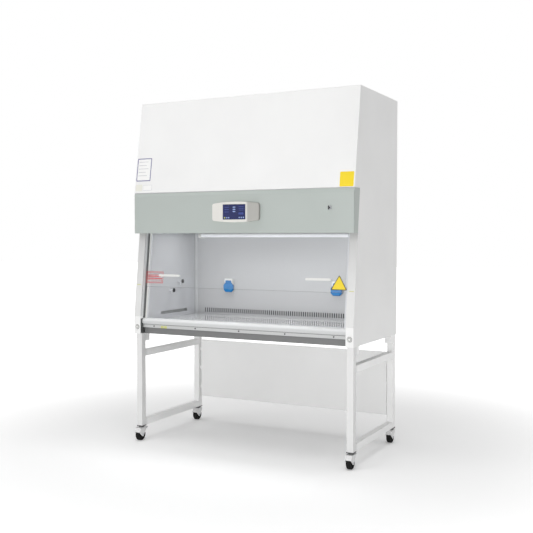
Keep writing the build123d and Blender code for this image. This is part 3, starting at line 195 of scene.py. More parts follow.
# Painted shade: the base pan's dark grey stands for the shade under the front rail.
PAN_SHADE_COAT = surface_material("pan_coat_painted_shade", linear(116, 117, 117), 0.5)
CASTOR_COAT = surface_material("castor_coat", (0.74, 0.74, 0.74), 0.35)
BAFFLE = surface_material("baffle", linear(186, 188, 188), 0.45, metallic=0.1)
# Painted shade: near-black for the unlit duct behind the rear slots.
DUCT_SHADE = surface_material("duct_painted_shade", linear(22, 23, 24), 0.6, mottle=0.1, ior=1.3)

# Bare metal. Painted light and shade: the side walls' steel is lighter and the back's darker, two copies of
# one steel for how light falls in the chamber.
STEEL_WALL = surface_material("steel_wall", (0.63, 0.64, 0.66), 0.5, metallic=0.08, mottle_size=0.5,
                              grain=0.0006, relief=0.06, stretch=BRUSHED_UP, ior=1.35)
STEEL_BACK = surface_material("steel_back", (0.455, 0.46, 0.47), 0.42, metallic=0.12, mottle_size=0.5,
                              grain=0.0006, relief=0.06, stretch=BRUSHED_UP)
STEEL_TRAY = surface_material("steel_tray", (0.90, 0.905, 0.91), 0.03, metallic=0.42, mottle_size=0.5,
                              grain=0.0006, relief=0.004, stretch=BRUSHED_ACROSS, rough_swing=0.01,
                              edge=0.0)
# Painted shade: darker steel for the coved corners, against the light that falls on them.
COVE_SHADE_STEEL = surface_material("cove_painted_shade", (0.47, 0.48, 0.49), 0.5, metallic=0.08, grain=0.0006,
                              relief=0.06, stretch=BRUSHED_UP, edge=0.0, ior=1.35)
ZINC = surface_material("zinc", (0.5, 0.52, 0.54), 0.38, metallic=1.0, mottle=0.12, mottle_size=0.02)
DARK_ZINC = surface_material("dark_zinc", (0.10, 0.10, 0.105), 0.4, metallic=0.6, mottle=0.12)
SATIN = surface_material("satin", (0.42, 0.43, 0.45), 0.42, metallic=0.5, edge=0.0005)
ALLOY = surface_material("alloy", (0.72, 0.73, 0.74), 0.34, metallic=1.0, stretch=BRUSHED_ACROSS)

# Plastic and rubber. Painted shade: the control housing's right cheek is darker than its face.
BLACK_PLASTIC = surface_material("black_plastic", (0.012, 0.012, 0.013), 0.45, mottle=0.1, edge=0.0006)
WHITE_PLASTIC = surface_material("white_plastic", (0.78, 0.78, 0.76), 0.32, grain=0.0008, relief=0.08)
PANEL_PLASTIC_SHADED = surface_material("panel_plastic_painted_shade", linear(225, 223, 218), 0.36, grain=0.0008, relief=0.08)
# Painted shade on the housing's right cheek.
graded(PANEL_PLASTIC_SHADED, "X", 0.075, 0.095, (0.47, 0.47, 0.46))
BLUE_PLASTIC = surface_material("blue_plastic", linear(0, 114, 180), 0.28, edge=0.002)
GUIDE_PLASTIC = surface_material("guide_plastic", linear(132, 134, 134), 0.5, mottle=0.04)
LINER_GREY = surface_material("liner_grey", linear(226, 227, 227), 0.5, mottle=0.04)
# Painted shade in the liner's grooves; also the colour of the corner joint lines.
GROOVE_SHADE_AND_SEAM = surface_material("groove_shade_and_seam_line", linear(150, 152, 152), 0.5, mottle=0.06)
# Dark seals, and painted shade lines and strips.
SEAL_AND_SHADE_DARK = surface_material("dark_seal_and_painted_shade", linear(84, 86, 86), 0.5, mottle=0.08)
RUBBER = surface_material("wheel_rubber", (0.004, 0.004, 0.004), 0.75, mottle=0.2, mottle_size=0.01,
                          relief=0.3, ior=1.3)

# Glass, screen and filter paper
SCREEN = surface_material("screen", linear(22, 32, 88), 0.12, relief=0.0, edge=0.0, mottle=0.15,
                          mottle_size=0.04)
SASH_GLASS = glass_material("sash_glass", (0.985, 0.99, 0.992), (0.975, 0.98, 0.985))
LAMP_GLASS = glowing(film_material("lamp_glass", (0.86, 0.87, 0.9), 0.15), 0.15)
FILTER_PAPER = surface_material("filter_paper", (0.8, 0.8, 0.76), 0.8, grain=0.0005, relief=0.4)

# Films and prints
YELLOW = film_material("yellow_film", linear(242, 214, 40), 0.35, 0.03)
YELLOW_MARK = film_material("yellow_mark", linear(204, 204, 128), 0.4, 0.03)
LABEL_FILM = film_material("label_film", (0.9, 0.9, 0.89), 0.35, 0.03)
CREAM_FILM = film_material("cream_film", linear(232, 231, 222), 0.4, 0.03)
GREY_PRINT = film_material("grey_print", linear(196, 196, 200))
DARK_PRINT = film_material("dark_print", linear(58, 52, 30))
RED_PRINT = film_material("red_print", linear(208, 104, 106))
VIOLET_PRINT = film_material("violet_print", linear(84, 78, 138))
ICON_WHITE = film_material("icon_white", linear(150, 172, 218), 0.3, 0.0)
ICON_BLUE = film_material("icon_blue", linear(44, 62, 136), 0.3, 0.0)
ICON_GREEN = film_material("icon_green", linear(196, 210, 90), 0.3, 0.0)

FINISHES = {
    WHITE_COAT: ["side_shell_left", "side_shell_right", "back_panel", "top_panel", "hood_cover"],
    STAND_LIT_SHADED_COAT: ["stand_frame_left", "stand_frame_right"],
    SHEET_COAT: ["stand_back_sheet"],
    GREY_COAT: ["fascia"],
    RAIL_COAT: ["front_rail"],
    PAN_SHADE_COAT: ["base_pan"],
    LIP_SHADED_COAT: ["front_lip"],
    STEEL_WALL: ["chamber_wall_left", "chamber_wall_right", "tap_bodies"],
    STEEL_BACK: ["chamber_back_wall", "flow_diffuser"],
    STEEL_TRAY: ["work_tray"],
    ZINC: ["lift_shaft", "lift_brackets", "supply_plenum", "blower_housing", "blower_impeller",
           "electrical_box"],
    DARK_ZINC: ["castor_plates"],
    SATIN: ["lock_barrel"],
    ALLOY: ["sash_top_rail"],
    BLACK_PLASTIC: ["power_inlet", "rail_screws", "idler_left", "idler_right", "lift_motor",
                    "blower_motor", "tap_knob_upper", "tap_knob_lower", "lift_belts", "lock_key"],
    GUIDE_PLASTIC: ["sash_guides"],
    RUBBER: ["castor_wheel_front_left", "castor_wheel_front_right", "castor_wheel_rear_left",
             "castor_wheel_rear_right"],
    WHITE_PLASTIC: ["sash_handles", "lamp_holders", "sockets", "column_caps"],
    PANEL_PLASTIC_SHADED: ["control_housing"],
    CASTOR_COAT: ["castor_fork_front_left", "castor_fork_front_right", "castor_fork_rear_left",
                  "castor_fork_rear_right", "castor_pedal_front_left", "castor_pedal_front_right"],
    BLUE_PLASTIC: ["socket_cover_left", "socket_cover_right"],
    SCREEN: ["touch_screen"],
    FILTER_PAPER: ["supply_filter", "exhaust_filter"],
    SASH_GLASS: ["sash_glass"],
    LAMP_GLASS: ["lamp_tube"],
}

for mat, names in FINISHES.items():
    for name in names:
        for place in NODES[name].material_slots:
            place.material = mat


# ---------------------------------------------------------------- outlines, plates and frames

FILM = 0.0003            # face of a film above the surface that carries it
LIFT = 0.00008           # air under a film
THIN = 0.00005           # face of a mark on the touch screen
SEAT = 0.0001            # air under a small plate or screw


def shifted(outline, x, y):
    """The same outline about another centre."""
    return [(x + px, y + py) for px, py in outline]


def rectangle(x0, x1, y0, y1):
    """Outline of a rectangle with sharp corners."""
    return [(x0, y0), (x1, y0), (x1, y1), (x0, y1)]


def rounded_box(half_x, half_y, radius, steps=5):
    """Outline of a rectangle with round corners."""
    points = []
    for corner, (sign_x, sign_y) in enumerate(((1, 1), (-1, 1), (-1, -1), (1, -1))):
        for step in range(steps + 1):
            angle = math.radians(90 * corner + 90 * step / steps)
            points.append((
                sign_x * (half_x - radius) + radius * math.cos(angle),
                sign_y * (half_y - radius) + radius * math.sin(angle),
            ))
    return points


def rounded_strip(x0, x1, y0, y1, radius=0.0015):
    """Rounded outline between two corners, whose x may come in either order."""
    outline = rounded_box(abs(x1 - x0) / 2, (y1 - y0) / 2, radius, 3)
    return shifted(outline, (x0 + x1) / 2, (y0 + y1) / 2)


def rounded_polygon(corners, radius, steps=4):
    """Outline of a polygon whose corners are rounded."""
    points = []
    count = len(corners)
    for index in range(count):
        here = Vector(corners[index])
        before = (Vector(corners[index - 1]) - here).normalized()
        after = (Vector(corners[(index + 1) % count]) - here).normalized()
        start, end = here + before * radius, here + after * radius
        for step in range(steps + 1):
            t = step / steps
            points.append(tuple(start * (1 - t) ** 2 + here * 2 * t * (1 - t) + end * t ** 2))
    return points


def slab(bm, outline, low, high, slot=0, matrix=None):
    """Add a flat plate with this outline between two heights."""
    base = [bm.verts.new((x, y, low)) for x, y in outline]
    top = [bm.verts.new((x, y, high)) for x, y in outline]
    faces = [bm.faces.new(list(reversed(base))), bm.faces.new(top)]
    count = len(outline)
    for index in range(count):
        after = (index + 1) % count
        faces.append(bm.faces.new((base[index], base[after], top[after], top[index])))
    for face in faces:
        face.material_index = slot
    if matrix is not None:
        bmesh.ops.transform(bm, matrix=matrix, verts=base + top)


def ring(bm, outer, inner, low, high, slot, centre):
    """Add a flat ring about a centre between two heights."""
    count = 28
    loops = []
    for radius, height in ((outer, low), (outer, high), (inner, high), (inner, low)):
        loops.append([bm.verts.new((centre[0] + radius * math.cos(math.tau * k / count),
                                    centre[1] + radius * math.sin(math.tau * k / count), height))
                      for k in range(count)])
    for a, b in zip(loops, loops[1:] + loops[:1]):
        for k in range(count):
            after = (k + 1) % count
            face = bm.faces.new((a[k], a[after], b[after], b[k]))
            face.material_index = slot


def piece(name, bm, body, materials, matrix=None):
    """Turn a bmesh into a named piece that rides on a body."""
    if matrix is not None:
        bmesh.ops.transform(bm, matrix=matrix, verts=bm.verts)
    bmesh.ops.recalc_face_normals(bm, faces=bm.faces)
    mesh = bpy.data.meshes.new(name)
    bm.to_mesh(mesh)
    bm.free()
    for mat in materials:
        mesh.materials.append(mat)
    obj = bpy.data.objects.new(name, mesh)
    bpy.context.scene.collection.objects.link(obj)
    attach(obj, body)
    return obj


GRAPH = bpy.context.evaluated_depsgraph_get()
SEARCH_TREES = {}


def front_point(node, x, z):
    """Point and outward normal where a level ray from the front meets a CAD node."""
    if node not in SEARCH_TREES:
        SEARCH_TREES[node] = BVHTree.FromObject(NODES[node], GRAPH)
    point, normal, _, _ = SEARCH_TREES[node].ray_cast(Vector((x, -2, z)), Vector((0, 1, 0)))
    if normal.y > 0:
        normal = -normal
    return point, normal


def laid_frame(node, x, z):
    """Axes of a plate that lies on a CAD face: across, up the face and out of it."""
    point, out = front_point(node, x, z)
    across = UP.cross(-out).normalized()
    if across.x < 0:
        across = -across
    up = out.cross(across)
    if up.z < 0:
        up = -up
    matrix = Matrix((across, up, out)).transposed().to_4x4()
    matrix.translation = point
    return matrix


def facing_front(y=0.0):
    """Upright frame at this depth: across, up and out to the front."""
    return Matrix(((1, 0, 0, 0), (0, 0, -1, y), (0, 1, 0, 0), (0, 0, 0, 1)))


def facing_back(y):
    """Upright frame at this depth: across, up and out to the back."""
    return Matrix(((1, 0, 0, 0), (0, 0, 1, y), (0, 1, 0, 0), (0, 0, 0, 1)))


KNEE = Vector((0, -0.359, 0.800))   # foot of the leaning front
LEAN = math.atan(0.118)
RISE = Vector((0, math.sin(LEAN), math.cos(LEAN)))
OUT = Vector((0, -math.cos(LEAN), math.sin(LEAN)))


def slope_frame(depth=0.0):
    """Axes of the leaning front, or of a plane behind it: across, up from the knee and out."""
    matrix = Matrix((Vector((1, 0, 0)), RISE, OUT)).transposed().to_4x4()
    matrix.translation = KNEE - OUT * depth
    return matrix


# ---------------------------------------------------------------- labels and marks

def yellow_plate():
    """Plain yellow square at the right end of the front cover."""
    bm = bmesh.new()
    slab(bm, rounded_box(0.042, 0.0425, 0.006), LIFT, FILM)
    piece("yellow_plate", bm, "body", [YELLOW], laid_frame("hood_cover", 0.700, 1.6305))


def framed_label():
    """Blank label with a thin frame and a few bars, low at the left of the front cover."""
    half_x, half_y, line, bar, margin = 0.0515, 0.071, 0.005, 0.003, 0.010
    bar_tops_and_lengths = ((0.052, 0.070), (0.030, 0.060), (0.008, 0.074), (-0.014, 0.056),
                            (-0.036, 0.066))
    bm = bmesh.new()
    slab(bm, rounded_box(half_x, half_y, 0.001, 1), LIFT, FILM)
    for sign in (-1, 1):
        for x, y, size_x, size_y in ((0, sign * half_y, half_x, line / 2),
                                     (sign * half_x, 0, line / 2, half_y)):
            slab(bm, rectangle(x - size_x, x + size_x, y - size_y, y + size_y), LIFT, FILM * 2, 1)
    left = -half_x + margin
    for top, length in bar_tops_and_lengths:
        slab(bm, rectangle(left, left + length, top - bar, top), FILM, FILM * 2, 2)
    piece("framed_label", bm, "body", [LABEL_FILM, VIOLET_PRINT, GREY_PRINT],
          laid_frame("hood_cover", -0.6905, 1.734))


def cream_label():
    """Small plain cream label, and beside it a paler one with a thin border."""
    pitch, half_x, half_y, border, corner = 0.064, 0.034, 0.0175, 0.0015, 0.002
    bm = bmesh.new()
    slab(bm, rounded_box(0.024, 0.0215, 0.003), LIFT, FILM)
    slab(bm, shifted(rounded_box(half_x, half_y, corner), pitch, 0), LIFT, FILM, 1)
    slab(bm, shifted(rounded_box(half_x - border, half_y - border, corner), pitch, 0), FILM, FILM * 2, 2)
    piece("cream_label", bm, "body", [CREAM_FILM, GREY_PRINT, LABEL_FILM],
          laid_frame("hood_cover", -0.7185, 1.6185))


def glass_triangle():
    """Plain yellow triangle with a dark edge on the glass."""
    half_width, half_height, share = 0.0505, 0.0435, 0.86
    middle = -half_height / 3
    corners = [(-half_width, -half_height), (half_width, -half_height), (0.0, half_height)]
    inner = [(x * share, (y - middle) * share + middle) for x, y in corners]
    bm = bmesh.new()
    slab(bm, rounded_polygon(corners, 0.008), LIFT, FILM, 1)
    slab(bm, rounded_polygon(inner, 0.006), FILM, FILM * 2, 0)
    piece("glass_triangle", bm, "sash", [YELLOW, DARK_PRINT],
          laid_frame("sash_glass", 0.6365, 1.0485))


def red_label():
    """Clear label with a thin plain red border and hollow red bars on the glass."""
    border, fine = 0.0032, 0.0026
    half_x, half_y, inset = 0.065, 0.037, 0.057
    bm = bmesh.new()

    def bar(x0, x1, y0, y1):
        slab(bm, rectangle(x0, x1, y0, y1), LIFT, FILM)

    def hollow(x0, x1, y0, y1, line):
        bar(x0, x1, y0, y0 + line)
        bar(x0, x1, y1 - line, y1)
        bar(x0, x0 + line, y0 + line, y1 - line)
        bar(x1 - line, x1, y0 + line, y1 - line)

    hollow(-half_x, half_x, -half_y, half_y, border)
    hollow(-inset, inset, 0.015, 0.030, fine)
    bar(-inset, 0.050, 0.003, 0.011)
    bar(-inset, inset, -0.010, -0.003)
    hollow(-inset, inset, -0.031, -0.015, fine)
    piece("red_label", bm, "sash", [RED_PRINT], laid_frame("sash_glass", -0.6345, 1.050))


def level_marks():
    """Small yellow working-height mark on each column, above its facing."""
    working_height = 1.003
    for x, word in ((-0.7285, "left"), (0.728, "right")):
        bm = bmesh.new()
        slab(bm, rounded_box(0.014, 0.0022, 0.0006, 2), FILM + LIFT, FILM * 2)
        piece(f"level_mark_{word}", bm, "body", [YELLOW_MARK],
              laid_frame(f"side_shell_{word}", x, working_height))


def screen_picture():
    """Plain bars and squares on the touch screen."""
    white, blue, green = 0, 1, 2
    bm = bmesh.new()

    def box(x, y, size_x, size_y, slot):
        corner = min(size_x, size_y) * 0.2
        slab(bm, shifted(rounded_box(size_x / 2, size_y / 2, corner, 2), x, y), THIN / 2, THIN, slot)

    for row in range(3):
        box(-0.050, 0.028 - row * 0.014, 0.030, 0.004, blue)
        box(0.0, 0.028 - row * 0.013, 0.018, 0.006, white)
        box(0.048, 0.030 - row * 0.010, 0.034, 0.0035, blue)
    box(0.047, -0.010, 0.034, 0.012, blue)
    for x, slot in ((-0.064, green), (-0.050, white), (-0.036, white), (0.036, white), (0.050, white),
                    (0.064, white)):
        box(x, -0.034, 0.008, 0.007, slot)
    piece("screen_picture", bm, "body", [ICON_WHITE, ICON_BLUE, ICON_GREEN],
          laid_frame("touch_screen", 0.0, 1.456))


def rail_plates():
    """Two small plain yellow plates at the left of the front rail."""
    bm = bmesh.new()
    for x in (-0.0125, 0.0125):
        slab(bm, shifted(rounded_box(0.0105, 0.0075, 0.0015, 2), x, 0), LIFT, FILM)
    piece("rail_plates", bm, "body", [YELLOW_MARK], laid_frame("front_rail", -0.5440, 0.7370))


# ---------------------------------------------------------------- columns and sash opening

OPENING_TOP = 0.560                 # end of the trims and liners, up the slope
COLUMN_INSIDE = 0.7018              # where the liners lie, just inside each column


def jamb_trims():
    """White trim on the lining beside each guide, with a dark seal against the guide."""
    foot, lining_depth = -0.006, 0.046
    for sign, word in SIDES:
        bm = bmesh.new()
        trim = rounded_strip(0.6850 * sign, 0.6965 * sign, foot, OPENING_TOP)
        slab(bm, trim, SEAT, 0.0013)
        seal = rounded_strip(0.6968 * sign, 0.6998 * sign, foot, OPENING_TOP, 0.0008)
        slab(bm, seal, SEAT, 0.0020, 1)
        piece(f"jamb_trim_{word}", bm, "body", [WHITE_PLASTIC, SEAL_AND_SHADE_DARK],
              slope_frame(lining_depth))


def jamb_liner(sign, word):
    """Ribbed guide liner on the inner face of one column, its grooves painted darker as shade."""
    foot, base_thick, rib_thick = 0.002, 0.0005, 0.0014
    bm = bmesh.new()

    def rib(thick, near, far, slot):
        x0, x1 = sorted((COLUMN_INSIDE * sign, (COLUMN_INSIDE - thick) * sign))
        slab(bm, rectangle(x0, x1, foot, OPENING_TOP), -far, -near, slot)

    rib(base_thick, 0.0015, 0.0270, 1)
    for near, far in ((0.0035, 0.0085), (0.0110, 0.0180), (0.0205, 0.0262)):
        rib(rib_thick, near, far, 0)
    piece(f"jamb_liner_{word}", bm, "body", [LINER_GREY, GROOVE_SHADE_AND_SEAM], slope_frame())


def jamb_foot(sign, word):
    """Dark strip at the foot of one column's inner face, beside the lip and the front rail: painted shade
    for a recess.
    """
    bm = bmesh.new()
    slab(bm, rounded_strip(0.7017 * sign, 0.7008 * sign, 0.694, 0.788, 0.0003), 0.3300, 0.3570)
    piece(f"jamb_foot_{word}", bm, "body", [SEAL_AND_SHADE_DARK], facing_front())


def column_faces():
    """Facing on each column's leaning front, greyer than the panels and darker towards the top: painted
    shade under the fascia.
    """
    for sign, word in SIDES:
        bm = bmesh.new()
        slab(bm, rounded_strip(0.7022 * sign, 0.7498 * sign, 0.001, 0.770), LIFT, FILM)
        piece(f"column_face_{word}", bm, "body", [COLUMN_SHADE_COAT], slope_frame())


def cap_rings():
    """Shadow line round each column cap and a grey ring in its groove."""
    cap_x, cap_z = 0.726, 0.735
    for sign, word in SIDES:
        centre = (cap_x * sign, cap_z)
        bm = bmesh.new()
        ring(bm, 0.0156, 0.0136, LIFT, 0.0006, 1, centre)
        ring(bm, 0.0104, 0.0076, 0.0029, 0.0033, 0, centre)
        piece(f"cap_ring_{word}", bm, "body", [GUIDE_PLASTIC, SEAL_AND_SHADE_DARK],
              facing_front(KNEE.y))


def rail_lines():
    """Dark lines along the upper and lower edges of the front rail: painted shadow under the lip and in the
    gap above the pan.
    """
    half_length, rail_face = 0.6995, 0.32705
    bm = bmesh.new()
    for low, high in ((0.7492, 0.7518), (0.7282, 0.7300)):
        slab(bm, rounded_strip(-half_length, half_length, low, high, 0.0004), rail_face, rail_face + 0.0004)
    piece("rail_lines", bm, "body", [SEAL_AND_SHADE_DARK], facing_front())


def hood_seal():
    """Soft seal in the joint between the front cover and the fascia."""
    bm = bmesh.new()
    slab(bm, rounded_strip(-0.7495, 0.7495, -0.3475, -0.300, 0.002), 1.5821, 1.5839)
    piece("hood_seal", bm, "body", [GREY_PRINT])


# ---------------------------------------------------------------- work space

LINING_FOOT, LINING_TOP = 0.7745, 1.4380


def corner_seams():
    """Fine joint line where each coved corner meets the back lining."""
    half_line, face = 0.0007, -0.25492
    for sign, word in SIDES:
        x = 0.6530 * sign
        bm = bmesh.new()
        slab(bm, rounded_strip(x - half_line, x + half_line, LINING_FOOT, LINING_TOP, 0.0003),
             face, face + FILM)
        piece(f"corner_seam_{word}", bm, "body", [GROOVE_SHADE_AND_SEAM], facing_front())


def cove_skins():
    """Darker steel skin over each coved corner of the lining: painted shade that hides the light on the
    cove.
    """
    centre_x, centre_y, outer, inner, steps = 0.6545, 0.2342, 0.0199, 0.0196, 10
    for sign, word in SIDES:
        outline = []
        for radius, order in ((outer, range(steps + 1)), (inner, range(steps, -1, -1))):
            for k in order:
                angle = math.radians(90 * k / steps)
                outline.append((sign * (centre_x + radius * math.cos(angle)),
                                centre_y + radius * math.sin(angle)))
        bm = bmesh.new()
        slab(bm, outline, LINING_FOOT, LINING_TOP)
        piece(f"cove_skin_{word}", bm, "body", [COVE_SHADE_STEEL])


def side_baffles():
    """Shallow grey duct tray behind each side slot."""
    half_length, half_height, sheet, depth = 0.178, 0.024, 0.001, 0.0105
    wall_x, middle_y, middle_z = 0.6765, -0.014, 0.810
    short, low = half_length - 2 * sheet, half_height - 2 * sheet
    for sign, word in SIDES:
        bm = bmesh.new()
        slab(bm, rounded_box(half_length, half_height, 0.003, 3), depth, depth + sheet)
        for y0, y1 in ((-half_height, -half_height + sheet), (half_height - sheet, half_height)):
            slab(bm, rectangle(-short, short, y0, y1), SEAT, depth)
        for x0, x1 in ((-half_length, -half_length + sheet), (half_length - sheet, half_length)):
            slab(bm, rectangle(x0, x1, -low, low), SEAT, depth)
        matrix = Matrix(((0, 0, sign, wall_x * sign), (-sign, 0, 0, middle_y), (0, -1, 0, middle_z),
                         (0, 0, 0, 1)))
        piece(f"side_baffle_{word}", bm, "body", [BAFFLE], matrix)


def duct_shade_sheet():
    """Near-black folded sheet behind the rear slots: painted shade for the deep duct."""
    half_length, half_height, sheet, depth = 0.640, 0.028, 0.001, 0.0085
    wall_back, middle_z = 0.2565, 0.802
    short = half_length - 2 * sheet
    bm = bmesh.new()
    slab(bm, rounded_box(half_length, half_height, 0.002, 2), depth, depth + sheet)
    for y0, y1 in ((-half_height, -half_height + sheet), (half_height - sheet, half_height)):
        slab(bm, rectangle(-short, short, y0, y1), SEAT, depth)
    matrix = Matrix(((1, 0, 0, 0), (0, 0, 1, wall_back), (0, -1, 0, middle_z), (0, 0, 0, 1)))
    piece("duct_shade_sheet", bm, "body", [DUCT_SHADE], matrix)


# ---------------------------------------------------------------- back panel

BACK_FACE = 0.378                   # outer face of the back panel


def back_screws():
    """Cross-recessed screws round the edge of the back panel."""
    column_pitch, row_pitch, side_x, foot_z, top_z = 0.2433, 0.2387, 0.736, 0.708, 2.140
    rim_outer, rim_inner, rim_height = 0.0048, 0.0030, 0.0016
    head_half, head_height = 0.0031, 0.0009
    cross_long, cross_short, cross_height = 0.0024, 0.0005, 0.0011
    places = [(x * column_pitch, z) for x in range(-3, 4) for z in (foot_z, top_z)]
    places += [(sign * side_x, foot_z + k * row_pitch) for sign in (-1, 1) for k in range(1, 6)]
    bm = bmesh.new()
    for x, z in places:
        ring(bm, rim_outer, rim_inner, SEAT, rim_height, 0, (x, z))
        slab(bm, shifted(rounded_box(head_half, head_half, 0.003, 4), x, z), SEAT, head_height, 0)
        for across, along in ((cross_long, cross_short), (cross_short, cross_long)):
            slab(bm, shifted(rounded_box(across, along, 0.0004, 2), x, z), head_height, cross_height, 1)
    piece("back_screws", bm, "body", [ZINC, BLACK_PLASTIC], facing_back(BACK_FACE))


def back_joint_strips():
    """Two flat joint strips across the back panel, each with seven rivets."""
    half_length, half_width, height, rivet_height = 0.728, 0.011, 0.0016, 0.0026
    first_x, pitch, count = -0.69, 0.23, 7
    bm = bmesh.new()
    for z in (1.164, 1.646):
        strip = rounded_strip(-half_length, half_length, z - half_width, z + half_width, 0.004)
        slab(bm, strip, SEAT, height)
        for k in range(count):
            ring(bm, 0.0042, 0.0012, height, rivet_height, 1, (first_x + pitch * k, z))
    piece("back_joint_strips", bm, "body", [WHITE_COAT, ZINC], facing_back(BACK_FACE))


# ---------------------------------------------------------------- castors

CASTOR_X = 0.724                    # pivots to either side of the middle
PIVOTS_Y = (("front", -0.322), ("rear", 0.358))
WHEEL_LINE = 0.0375                 # height of the axles
TRAIL = 0.012                       # axle ahead of the swivel
CHEEK_IN, CHEEK_OUT, NUT_OUT = 0.0172, 0.0195, 0.0208
FORK_FRONT, FORK_BACK = -0.0375, 0.0225
FORK_TOP, SHOULDER = 0.084, 0.066
APRON_OUT, APRON_IN = 0.0412, 0.0392


def about_axle(radius, start, stop, step):
    """Points of an arc round the axle, in degrees."""
    return [(-TRAIL + radius * math.cos(math.radians(a)), WHEEL_LINE + radius * math.sin(math.radians(a)))
            for a in range(start, stop, step)]


def castor_fork(end, word, pivot_x, pivot_y):
    """Open fork with tapered cheeks and a short apron over the wheel, which stands for the CAD fork."""
    over = about_axle(APRON_OUT, 128, 154, 5)
    under = about_axle(APRON_IN, 153, 127, -5)
    foot = about_axle(0.0115, 215, 326, 15)
    nut = about_axle(0.0068, 0, 331, 30)
    cheek = [(FORK_FRONT, FORK_TOP)] + over + foot + [(FORK_BACK, SHOULDER), (FORK_BACK, FORK_TOP)]
    apron = [(FORK_FRONT, FORK_TOP)] + over + under + [(FORK_FRONT + 0.003, FORK_TOP)]
    side_view = Matrix(((0, 0, 1, pivot_x), (1, 0, 0, pivot_y), (0, 1, 0, 0), (0, 0, 0, 1)))
    crown = Matrix.Translation((pivot_x, pivot_y - 0.0075, 0))
    bm = bmesh.new()
    for low, high in ((-CHEEK_OUT, -CHEEK_IN), (CHEEK_IN, CHEEK_OUT)):
        slab(bm, cheek, low, high, 0, side_view)
    slab(bm, apron, -CHEEK_IN, CHEEK_IN, 0, side_view)
    for low, high in ((-NUT_OUT, -CHEEK_OUT), (CHEEK_OUT, NUT_OUT)):
        slab(bm, nut, low, high, 1, side_view)
    slab(bm, rounded_box(0.0205, 0.030, 0.008), FORK_TOP - 0.004, FORK_TOP, 0, crown)
    fork = piece(f"castor_fork_shape_{end}_{word}", bm, f"fork_{end}_{word}", [CASTOR_COAT, ZINC])
    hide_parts(f"castor_fork_{end}_{word}")


def castor_race(end, word, pivot_x, pivot_y):
    """Ball race between the fork and its plate, coloured dark: painted shade in the gap."""
    bm = bmesh.new()
    ring(bm, 0.0165, 0.0060, FORK_TOP + 0.0002, 0.0914, 0, (pivot_x, pivot_y))
    piece(f"castor_race_{end}_{word}", bm, f"fork_{end}_{word}", [SEAL_AND_SHADE_DARK])


yellow_plate()
framed_label()
cream_label()
glass_triangle()
red_label()
level_marks()
screen_picture()
jamb_trims()
for sign, word in SIDES:
    jamb_liner(sign, word)
    jamb_foot(sign, word)
cap_rings()
corner_seams()
cove_skins()
back_screws()
back_joint_strips()
for end, pivot_y in PIVOTS_Y:
    for sign, word in SIDES:
        castor_fork(end, word, CASTOR_X * sign, pivot_y)
        castor_race(end, word, CASTOR_X * sign, pivot_y)
column_faces()
side_baffles()
duct_shade_sheet()
hood_seal()
rail_lines()
rail_plates()


# ---------------------------------------------------------------- studio

FLOOR_HALF = 30.0
FLOOR_COLOUR = (0.95, 0.95, 0.95, 1)
FADE_FROM, FADE_TO = 1.2, 4.2       # distances over which the floor melts into the background
NEAR_GLOW, FAR_GLOW = 0.18, 1.0
WORLD_LEVEL = 0.34

CAMERA_PLACE = (2.42478, -4.61474, 1.30481)
CAMERA_DOWN, CAMERA_LEFT = 2.03, 27.55      # degrees
CAMERA_LENS, CAMERA_SENSOR = 55.46, 36.0    # millimetres

# Name, place, target, size and power of each lamp outside
LAMPS = (
    ("key", (-3.4, -3.4, 5.6), (0, 0, 1.2), (2.6, 2.6), 34),
    ("front", (0.6, -6.2, 0.9), (0, 0, 0.5), (4.0, 1.4), 150),
    ("top", (0.3, -1.2, 9.0), (0, 0, 0), (5.0, 5.0), 240),
    ("side", (6.0, 0.5, 1.0), (0, 0, 0.7), (3.0, 1.8), 50),
)


def floor_material():
    """Matt floor that looks lighter with the distance, without lighting anything."""
    mat = bpy.data.materials.new("studio_floor")
    mat.use_nodes = True
    tree = mat.node_tree
    tree.nodes.clear()
    output = tree.nodes.new("ShaderNodeOutputMaterial")
    matt = tree.nodes.new("ShaderNodeBsdfDiffuse")
    matt.inputs["Color"].default_value = FLOOR_COLOUR
    glow = tree.nodes.new("ShaderNodeEmission")
    add = tree.nodes.new("ShaderNodeAddShader")
    mix = tree.nodes.new("ShaderNodeMixShader")
    place = tree.nodes.new("ShaderNodeTexCoord")
    reach = tree.nodes.new("ShaderNodeVectorMath")
    reach.operation = "LENGTH"
    fade = tree.nodes.new("ShaderNodeMapRange")
    fade.interpolation_type = "SMOOTHSTEP"
    fade.inputs["From Min"].default_value = FADE_FROM
    fade.inputs["From Max"].default_value = FADE_TO
    fade.inputs["To Min"].default_value = NEAR_GLOW
    fade.inputs["To Max"].default_value = FAR_GLOW
    tree.links.new(place.outputs["Object"], reach.inputs[0])
    tree.links.new(reach.outputs["Value"], fade.inputs["Value"])
    tree.links.new(fade.outputs["Result"], glow.inputs["Strength"])
    seen = any_ray(tree, "Is Camera Ray", "Is Glossy Ray", "Is Transmission Ray")
    tree.links.new(matt.outputs["BSDF"], add.inputs[0])
    tree.links.new(glow.outputs["Emission"], add.inputs[1])
    tree.links.new(seen, mix.inputs["Fac"])
    tree.links.new(matt.outputs["BSDF"], mix.inputs[1])
    tree.links.new(add.outputs["Shader"], mix.inputs[2])
    tree.links.new(mix.outputs["Shader"], output.inputs["Surface"])
    return mat


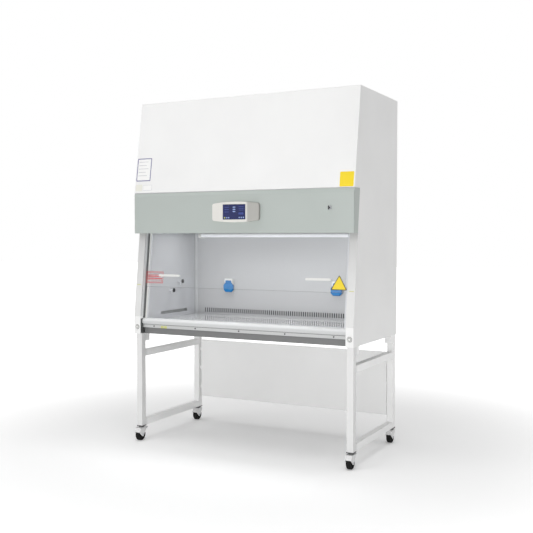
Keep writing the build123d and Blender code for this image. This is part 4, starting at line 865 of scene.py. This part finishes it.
def studio_floor():
    """Pale floor that keeps the cabinet's shadow."""
    bm = bmesh.new()
    bmesh.ops.create_grid(bm, x_segments=8, y_segments=8, size=FLOOR_HALF)
    mesh = bpy.data.meshes.new("studio_floor")
    bm.to_mesh(mesh)
    bm.free()
    mesh.materials.append(floor_material())
    floor = bpy.data.objects.new("studio_floor", mesh)
    bpy.context.scene.collection.objects.link(floor)


def studio_world():
    """Even soft light, with white behind the cabinet."""
    world = bpy.data.worlds.new("studio")
    bpy.context.scene.world = world
    world.use_nodes = True
    tree = world.node_tree
    background = tree.nodes["Background"]
    background.inputs["Color"].default_value = (1, 1, 1, 1)
    strength = tree.nodes.new("ShaderNodeMapRange")
    strength.inputs["To Min"].default_value = WORLD_LEVEL
    strength.inputs["To Max"].default_value = 1.0
    seen = any_ray(tree, "Is Camera Ray", "Is Transmission Ray", "Is Glossy Ray")
    tree.links.new(seen, strength.inputs["Value"])
    tree.links.new(strength.outputs["Result"], background.inputs["Strength"])


def softbox(name, place, target, size, power):
    """Rectangular area lamp that faces a target."""
    light = bpy.data.lights.new(name, "AREA")
    light.shape = "RECTANGLE"
    light.size, light.size_y = size
    light.energy = power
    obj = bpy.data.objects.new(name, light)
    obj.location = place
    direction = Vector(target) - Vector(place)
    obj.rotation_euler = direction.to_track_quat("-Z", "Y").to_euler()
    bpy.context.scene.collection.objects.link(obj)
    return obj


def inside_lamp():
    """Weak light under the diffuser, which isn't seen itself."""
    lamp = softbox("inside", (0, -0.08, 1.425), (0, -0.10, 0.8), (1.2, 0.3), 3.0)
    lamp.data.spread = math.radians(120)
    lamp.visible_camera = False
    lamp.visible_glossy = False


def camera():
    """Camera in front of the cabinet, to its right, looking slightly down."""
    data = bpy.data.cameras.new("camera")
    data.sensor_width = CAMERA_SENSOR
    data.lens = CAMERA_LENS
    obj = bpy.data.objects.new("camera", data)
    obj.location = CAMERA_PLACE
    obj.rotation_euler = (math.radians(90 - CAMERA_DOWN), 0, math.radians(CAMERA_LEFT))
    bpy.context.scene.collection.objects.link(obj)
    bpy.context.scene.camera = obj


camera()
studio_floor()
studio_world()
for lamp in LAMPS:
    softbox(*lamp)
inside_lamp()

bpy.context.scene.view_settings.view_transform = "Standard"
